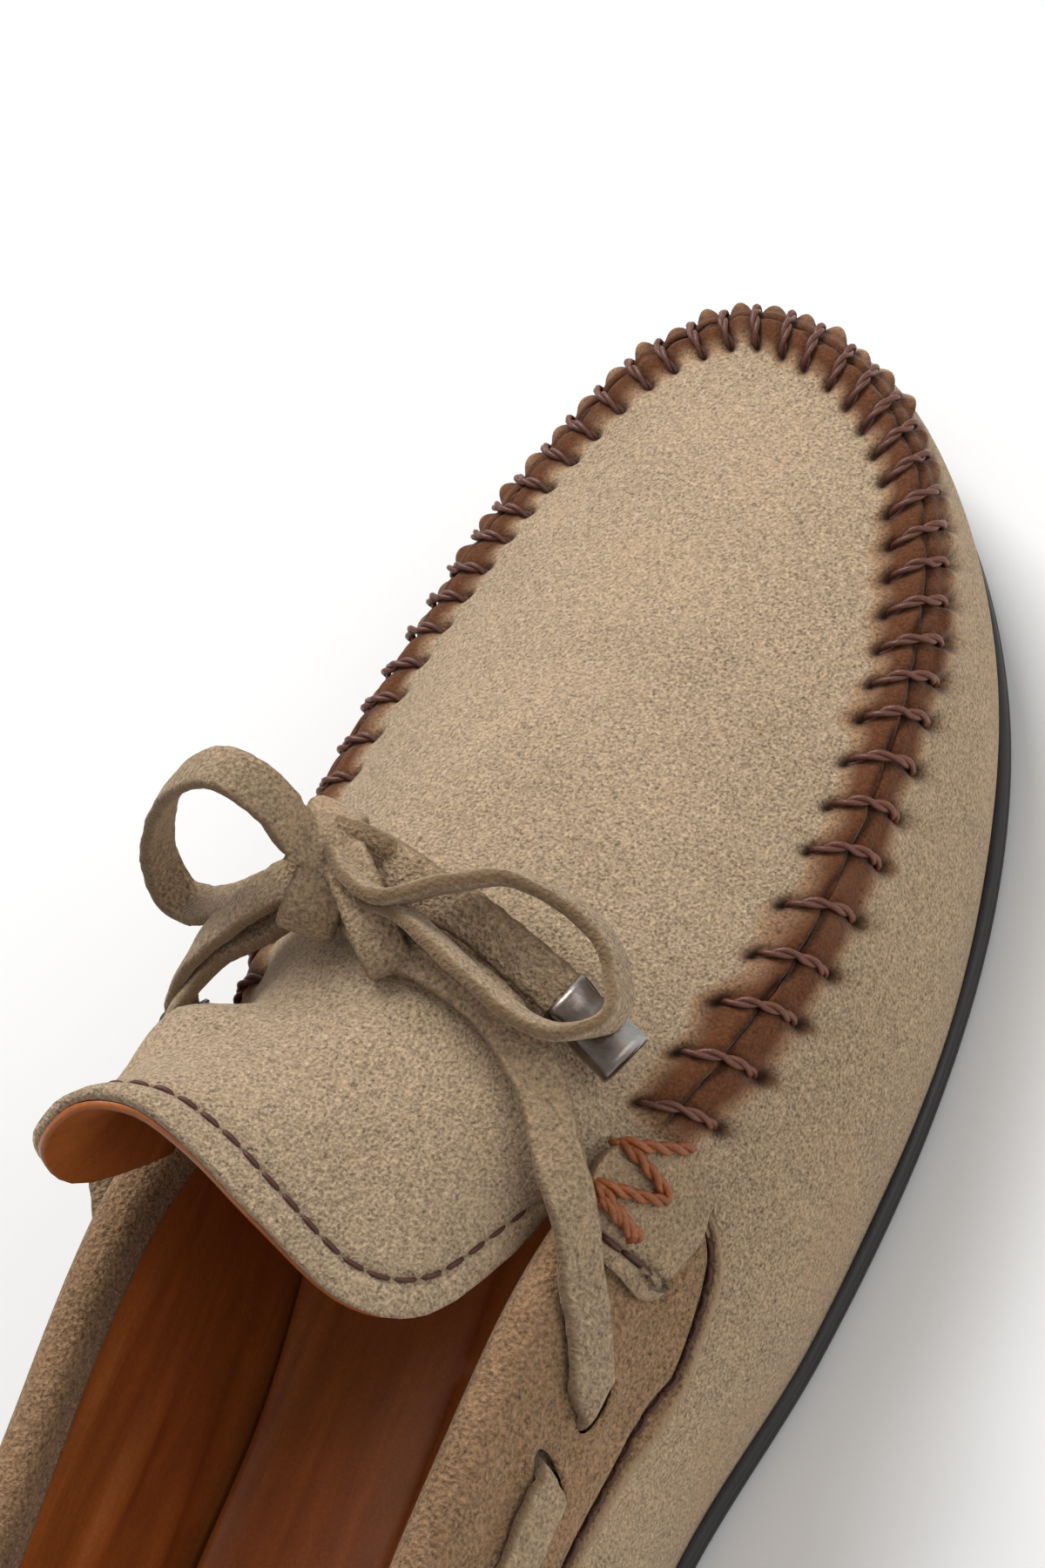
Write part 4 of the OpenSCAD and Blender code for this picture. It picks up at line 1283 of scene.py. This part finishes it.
def slot_nudge(s, c):
    """Moves the net's points that are close to a slot's outline onto it, and tells which are inside."""
    inside = np.zeros(s.shape, bool)
    lip = np.zeros(s.shape)
    s, c = s.copy(), c.copy()
    for middle, (half_s, half_w, drop) in zip(SLOTS, SLOT_SHAPES):
        x = (s - middle) * STATION
        y = -c + ROLL_MIDDLE - drop
        rho = np.sqrt((x / half_s) ** 2 + (y / half_w) ** 2) + 1e-9
        close = (rho > 0.72) & (rho < 1.25)
        s = np.where(close, middle + x / rho / STATION, s)
        c = np.where(close, -(y / rho + drop - ROLL_MIDDLE), c)
        inside |= rho < 1.02
        far = np.sqrt((x / (half_s + 1.6)) ** 2 + (y / (half_w + 1.6)) ** 2)
        lip += bell(far - 0.85, 0.35)
    return s, c, inside, lip


def make_collar(name, side, stands_for):
    """One collar band, rolled over the rim, with its slots cut out and its edge stitched down."""
    s = np.unique(np.concatenate([np.linspace(BAND_FROM, BAND_TO, 250), *[
        np.linspace(m - 0.2, m + 0.2, 34) for m in SLOTS]]))
    inside_end = pi * ROLL + BAND_INSIDE
    base = np.concatenate([np.linspace(-1, -0.8, 15), np.linspace(-0.78, -0.14, 34), np.linspace(-0.1, 0, 4)])
    c_out = base[None, :] * (band_depth(s) - ROLL_MIDDLE)[:, None]
    c_in = np.broadcast_to(np.linspace(0, inside_end, 24)[1:], (len(s), 23))
    c = np.concatenate([c_out, c_in], axis=1)
    grid_s = np.broadcast_to(s[:, None], c.shape)
    grid_s, c, cut, lip = slot_nudge(grid_s, c)
    from_low = c + (band_depth(grid_s) - ROLL_MIDDLE)
    where = on_side(grid_s, side)
    net = on_wall(where, *over_roll(c, ROLL))
    out = wall_out(where, np.full(where.shape, 0.7))
    groove = band_groove(grid_s)
    relief = (-0.85 * bell(from_low - groove, 0.7) + 0.75 * bell(from_low - 0.9, 1.1) + 0.55 * lip
              + 0.35 * ripple(net, 9, 91) * smooth(3, 7, from_low) + 0.12 * ripple(net, 3.5, 92))
    roll_zone = smooth(-4, 1, c)
    relief = relief * (1 - 0.4 * roll_zone)
    rag = ripple(net, 1.3, 93)
    up_way = unit(on_wall(where, 0.0, 0.0) - on_wall(where, 20.0, 0.0))
    net = net + out * relief[..., None] * (1 - roll_zone[..., None]) + up_way * (
        0.2 * rag * smooth(1.2, 0, from_low))[..., None]
    net = net + (up_way * 0.4 * (ripple(net, 14, 94) * roll_zone)[..., None])
    bm = start()
    # Painted shade darkens the stitched groove above the band's low edge.
    made = lay(bm, net, flip=side > 0, dark=0.8 * bell(from_low - groove, 0.55) * (from_low > 0),
               edge=smooth(2.1, 1.5, from_low))
    gone = {v for v, c_in_slot in zip(made, cut.ravel()) if c_in_slot}
    bmesh.ops.delete(bm, geom=[f for f in bm.faces if all(v in gone for v in f.verts)], context="FACES")
    thicken(bm, SUEDE)
    finish_piece(bm, name, SHADED_COLLAR_SUEDE, SHOE, stands_for)


for half, side in HALVES:
    make_collar("collar_" + half, side, ["collar_band_" + half])


def make_collar_thread(name, side, stands_for):
    """The machine stitches in the groove above the band's low edge."""
    s = np.linspace(1.0, 5.93, 400)
    where = on_side(s, side)
    line = even(on_wall(where, band_depth(s) - band_groove(s), BAND_FACE - 0.1), 0.5)
    station = np.interp(np.linspace(0, 1, len(line)), np.linspace(0, 1, len(s)), where)
    bm = start()
    dashes(bm, line, wall_out(station, 0.6))
    finish_piece(bm, name, FINE_THREAD, SHOE, stands_for)


for half, side in HALVES:
    make_collar_thread("collar_lockstitch_" + half, side, ["collar_thread_" + half])


def make_collar_lace(name, side, stands_for):
    """The strip of lace that runs in and out of the collar's slots, from the heel to the first slot."""
    s = np.linspace(0.0, SLOTS[0] - 0.02, 330)
    share = sum(sign * np.clip((m - s) / 0.07 + 0.5, 0, 1) for m, sign in zip(SLOTS, (1, -1, 1, -1, 1)))
    share = share * share * (3 - 2 * share)
    out = mix(BAND_FACE + 1.05, -1.25, share)
    where = on_side(s, side)
    line = even(on_wall(where, LACE_DOWN, out), 0.7)
    station = np.interp(np.linspace(0, 1, len(line)), np.linspace(0, 1, len(s)), where)
    up_way = unit(on_wall(station, 6.0, 0.0) - on_wall(station, 18.0, 0.0))
    bm = start()
    strap(bm, line, up_way, LACE_W, LACE_T, seed=101 + side)
    finish_piece(bm, name, LACE_SUEDE, SHOE, stands_for)


for half, side in HALVES:
    make_collar_lace("collar_lace_strip_" + half, side, ["collar_lace_" + half])


HEEL_TAB_DOWN = 46.0               # the heel tab reaches this far down outside
HEEL_TAB_IN = 6.0                  # and this far down inside
TAB_GROOVE = 2.4                   # its groove is this far from its edge


def make_heel_tab():
    """The piece that covers the back of the collar, with a groove inside its edge."""
    u = np.linspace(-1, 1, 60)
    v = np.linspace(0, 1, 60)
    c = mix(-HEEL_TAB_DOWN, pi * ROLL + HEEL_TAB_IN, v)
    half = mix(0.62, 0.86, smooth(0, 0.5, v)) * (1 - 0.35 * smooth(0.12, 0, v) ** 2)
    s = u[:, None] * half[None, :]
    c = np.broadcast_to(c[None, :], s.shape)
    flat_out = np.maximum(-c, 0)
    down, out = over_roll(c, ROLL + 1.7)
    # It swells over the lace that runs behind it.
    out = out + np.where(flat_out > 0, 1.4 * bell(flat_out - (LACE_DOWN - ROLL_MIDDLE), 5.5), 0)
    out = np.where(flat_out > 24, out - 1.4 * smooth(24, 32, flat_out), out)
    where = np.mod(s, TURN)
    net = on_wall(where, down, out)
    edge_gap = np.minimum((1 - np.abs(u))[:, None] * half[None, :] * STATION * 0.8, (v * 56)[None, :])
    normal = wall_out(where, np.full(s.shape, 0.7))
    groove = -0.4 * bell(edge_gap - TAB_GROOVE, 0.5) + 0.2 * ripple(net, 8, 111)
    net = net + normal * (groove * (c < 0))[..., None]
    bm = start()
    # Painted shade darkens the groove inside the tab's edge.
    lay(bm, net, flip=True, dark=0.4 * bell(edge_gap - TAB_GROOVE, 0.5))
    thicken(bm, SUEDE)
    finish_piece(bm, "heel_tab_suede", TAB_SUEDE, SHOE, ["heel_tab"])


make_heel_tab()


# ---- the ear tabs: a small pointed piece over each end of the seam, with its hem and zigzag stitches ----
TAB_FACE = 3.4                     # the tab's outer face stands this far outside the wall
# The tab's edge, as station and distance below the rim, from its top corner round to the hem.
tab_edge = [[5.82, -3.6], [5.95, -2.2], [6.06, 0.8], [6.1, 3.9], [6.06, 6.9], [6.0, 9.2], [5.87, 11.0],
            [5.72, 10.9], [5.58, 10.2], [5.52, 5.5], [5.43, 0.6], [5.47, -1.7], [5.54, -3.6], [5.68, -4.0]]
hem_edge = [[5.59, 10.2], [5.62, 11.2], [5.52, 11.2], [5.43, 9.1], [5.40, 5.7], [5.36, 3.0], [5.38, 1.0],
            [5.44, 1.0], [5.52, 5.5]]
# The line of stitches between the tab and its hem.
hem_line = np.array([[5.585, 10.4], [5.52, 5.5], [5.47, 3.0], [5.43, 0.6]])


def make_flat_piece(bm, outline, face, side, seed, puff=0.6, rings=14, around=150):
    """A suede cut-out on the wall: rings of points from its middle out to its edge."""
    guide = np.array(outline, float)
    ring = loop_at(guide, np.linspace(0, len(guide), around, endpoint=False))
    middle = ring.mean(0)
    f = np.linspace(0, 1, rings) ** 0.8
    place = middle + (ring[None] - middle) * f[:, None, None]
    place = np.concatenate([place, place[:, :1]], axis=1)
    s = on_side(place[..., 0], side)
    rim_slope = smooth(1.0, 0.55, f)[:, None]
    base = on_wall(s, place[..., 1], face)
    normal = wall_out(s, np.clip(1 - place[..., 1] / wall_len(s), 0, 1))
    rise = puff * (1 - f[:, None] ** 6) + 0.16 * ripple(base, 4, seed) - 0.1
    guide = line_at(hem_line, np.linspace(0, 3, 60))
    away = np.linalg.norm((place[..., None, :] - guide) * [25.0, 1.0], axis=-1).min(-1)
    net = base + normal * (rise * (0.4 + 0.6 * rim_slope) - 0.5 * bell(away, 0.6))[..., None]
    # Painted shade darkens the dip along the hem's stitch line, and the edge mark puts the tab's painted
    # shade round its rim.
    lay(bm, net, flip=side < 0, edge=smooth(0.93, 1.0, f)[:, None], dark=0.75 * bell(away, 0.55))


def make_ear_tab(name, side, stands_for):
    """The tab at one end of the seam, its hem, and the stitches between them."""
    bm = start()
    make_flat_piece(bm, tab_edge, TAB_FACE, side, 121 + side)
    thicken(bm, SUEDE)
    finish_piece(bm, name, TAB_SUEDE, SHOE, stands_for)
    bm = start()
    make_flat_piece(bm, hem_edge, TAB_FACE - 0.2, side, 131 + side, puff=0.7, rings=8, around=110)
    thicken(bm, SUEDE)
    finish_piece(bm, name + "_hem", TAB_SUEDE, SHOE)
    line = line_at(hem_line, np.linspace(0, 3, 60))
    where = on_side(line[:, 0], side)
    bm = start()
    path = even(on_wall(where, line[:, 1], TAB_FACE + 0.1), 0.4)
    normal = wall_out(np.interp(np.linspace(0, 1, len(path)), np.linspace(0, 1, 60), where), 0.8)
    dashes(bm, path, normal)
    finish_piece(bm, name + "_lockstitch", FINE_THREAD, SHOE)


for half, side in HALVES:
    make_ear_tab("ear_tab_suede_" + half, side, ["ear_tab_" + half])

# The zigzag's holes in turn, as station, distance below the rim and height over the wall.
zigzag = [[6.12, 3.5, 3.4], [5.86, -3.5, 3.8], [5.86, 4.5, 4.2], [5.55, -3.8, 3.8], [5.57, 3.7, 4.2],
          [5.52, -2.8, 3.8], [5.60, 4.3, 4.2]]


def make_ear_stitches(name, side, stands_for):
    """The thick thread that ties the tab down in a zigzag."""
    bm = start()
    for (s0, d0, o0), (s1, d1, o1) in zip(zigzag, zigzag[1:]):
        t = np.linspace(0, 1, 26)
        s, down, out = mix(s0, s1, t), mix(d0, d1, t), mix(o0, o1, t)
        where = on_side(s, side)
        bow_up = 0.9 * np.sin(pi * t) ** 0.5 - 2.6 * np.abs(2 * t - 1) ** 10
        path = on_wall(where, down, np.maximum(out, 0) + bow_up)
        normal = wall_out(where, np.full(where.shape, 0.9))
        two_ply(bm, path, normal, EAR_THREAD_R, EAR_THREAD_TURN)
    finish_piece(bm, name, EAR_THREAD, SHOE, stands_for)


for half, side in HALVES:
    make_ear_stitches("ear_zigzag_" + half, side, ["ear_stitches_" + half])


# ---- the sole and the insole ----
SOLE_TUCK = 0.9                    # the sole's edge is drawn in under the wall by this much


def make_outsole():
    """The rubber sole: rounded edges, a fine groove round its side and a raised rim underneath."""
    s = np.linspace(0, TURN, 500)
    section = np.array([
        (14, 0.9), (9, 0.9), (8.6, 0.35), (3.0, 0.0), (1.2, 0.12), (0.35, 0.55), (0.05, 1.2), (0.0, 1.9),
        (0.22, 2.15), (0.22, 2.35), (0.0, 2.6), (0.08, 3.3), (0.5, 3.8), (1.3, 4.0), (8, 4.0), (14, 4.0)])
    inset = np.broadcast_to(section[:, 0][None] + SOLE_TUCK, (len(s), len(section)))
    grid_s = np.broadcast_to(s[:, None], inset.shape)
    plan = edge_in(grid_s, inset)
    z = section[:, 1][None] + lift(plan[..., 1])
    net = np.concatenate([plan, z[..., None]], -1)
    net[-1] = net[0]
    bm = start()
    lay(bm, net)
    merge(bm)
    bmesh.ops.holes_fill(bm, edges=[e for e in bm.edges if e.is_boundary], sides=0)
    # Cross cuts keep the filled middle in line with the toe spring.
    for y in np.arange(-130, 131, 6.0):
        flat = [f for f in bm.faces if len(f.verts) > 20]
        edges = {e for f in flat for e in f.edges}
        verts = {v for f in flat for v in f.verts}
        bmesh.ops.bisect_plane(bm, geom=list(verts) + list(edges) + flat, dist=1e-6,
                               plane_co=(0, y * MM, 0), plane_no=(0, 1, 0))
    finish_piece(bm, "rubber_outsole", RUBBER, SHOE, ["outsole"])


make_outsole()


SOCK_TOP = 8.6                     # the sock's top face lies this far above the sole
SOCK_IN = 6.2                      # and its edge this far inside the sole's


def make_sock():
    """The leather sock, dished under the heel, with its edge curling up the sides a little."""
    s = np.linspace(0, TURN, 260)
    f = np.linspace(0, 1, 26)
    edge = edge_in(s, np.full(len(s), SOCK_IN))
    middle_x = mix(0.5, -2.0, smooth(-60, 90, edge[:, 1]))
    middle = np.stack([middle_x, np.clip(edge[:, 1] * 0.86, -128, 122)], -1)
    plan = mix(middle[:, None], edge[:, None], (f ** 0.8)[None, :, None])
    up = 1.6 * f[None, :] ** 8 + 0.25 * ripple(np.concatenate([plan, plan[..., :1] * 0], -1), 15, 141)
    z = SOLE_T + SOCK_TOP + up + lift(plan[..., 1])
    net = np.concatenate([plan, z[..., None]], -1)
    net[-1] = net[0]
    bm = start()
    lay(bm, net)
    thicken(bm, SOCK_T)
    finish_piece(bm, "leather_sock", LINING, SHOE, ["sock_liner"])


make_sock()
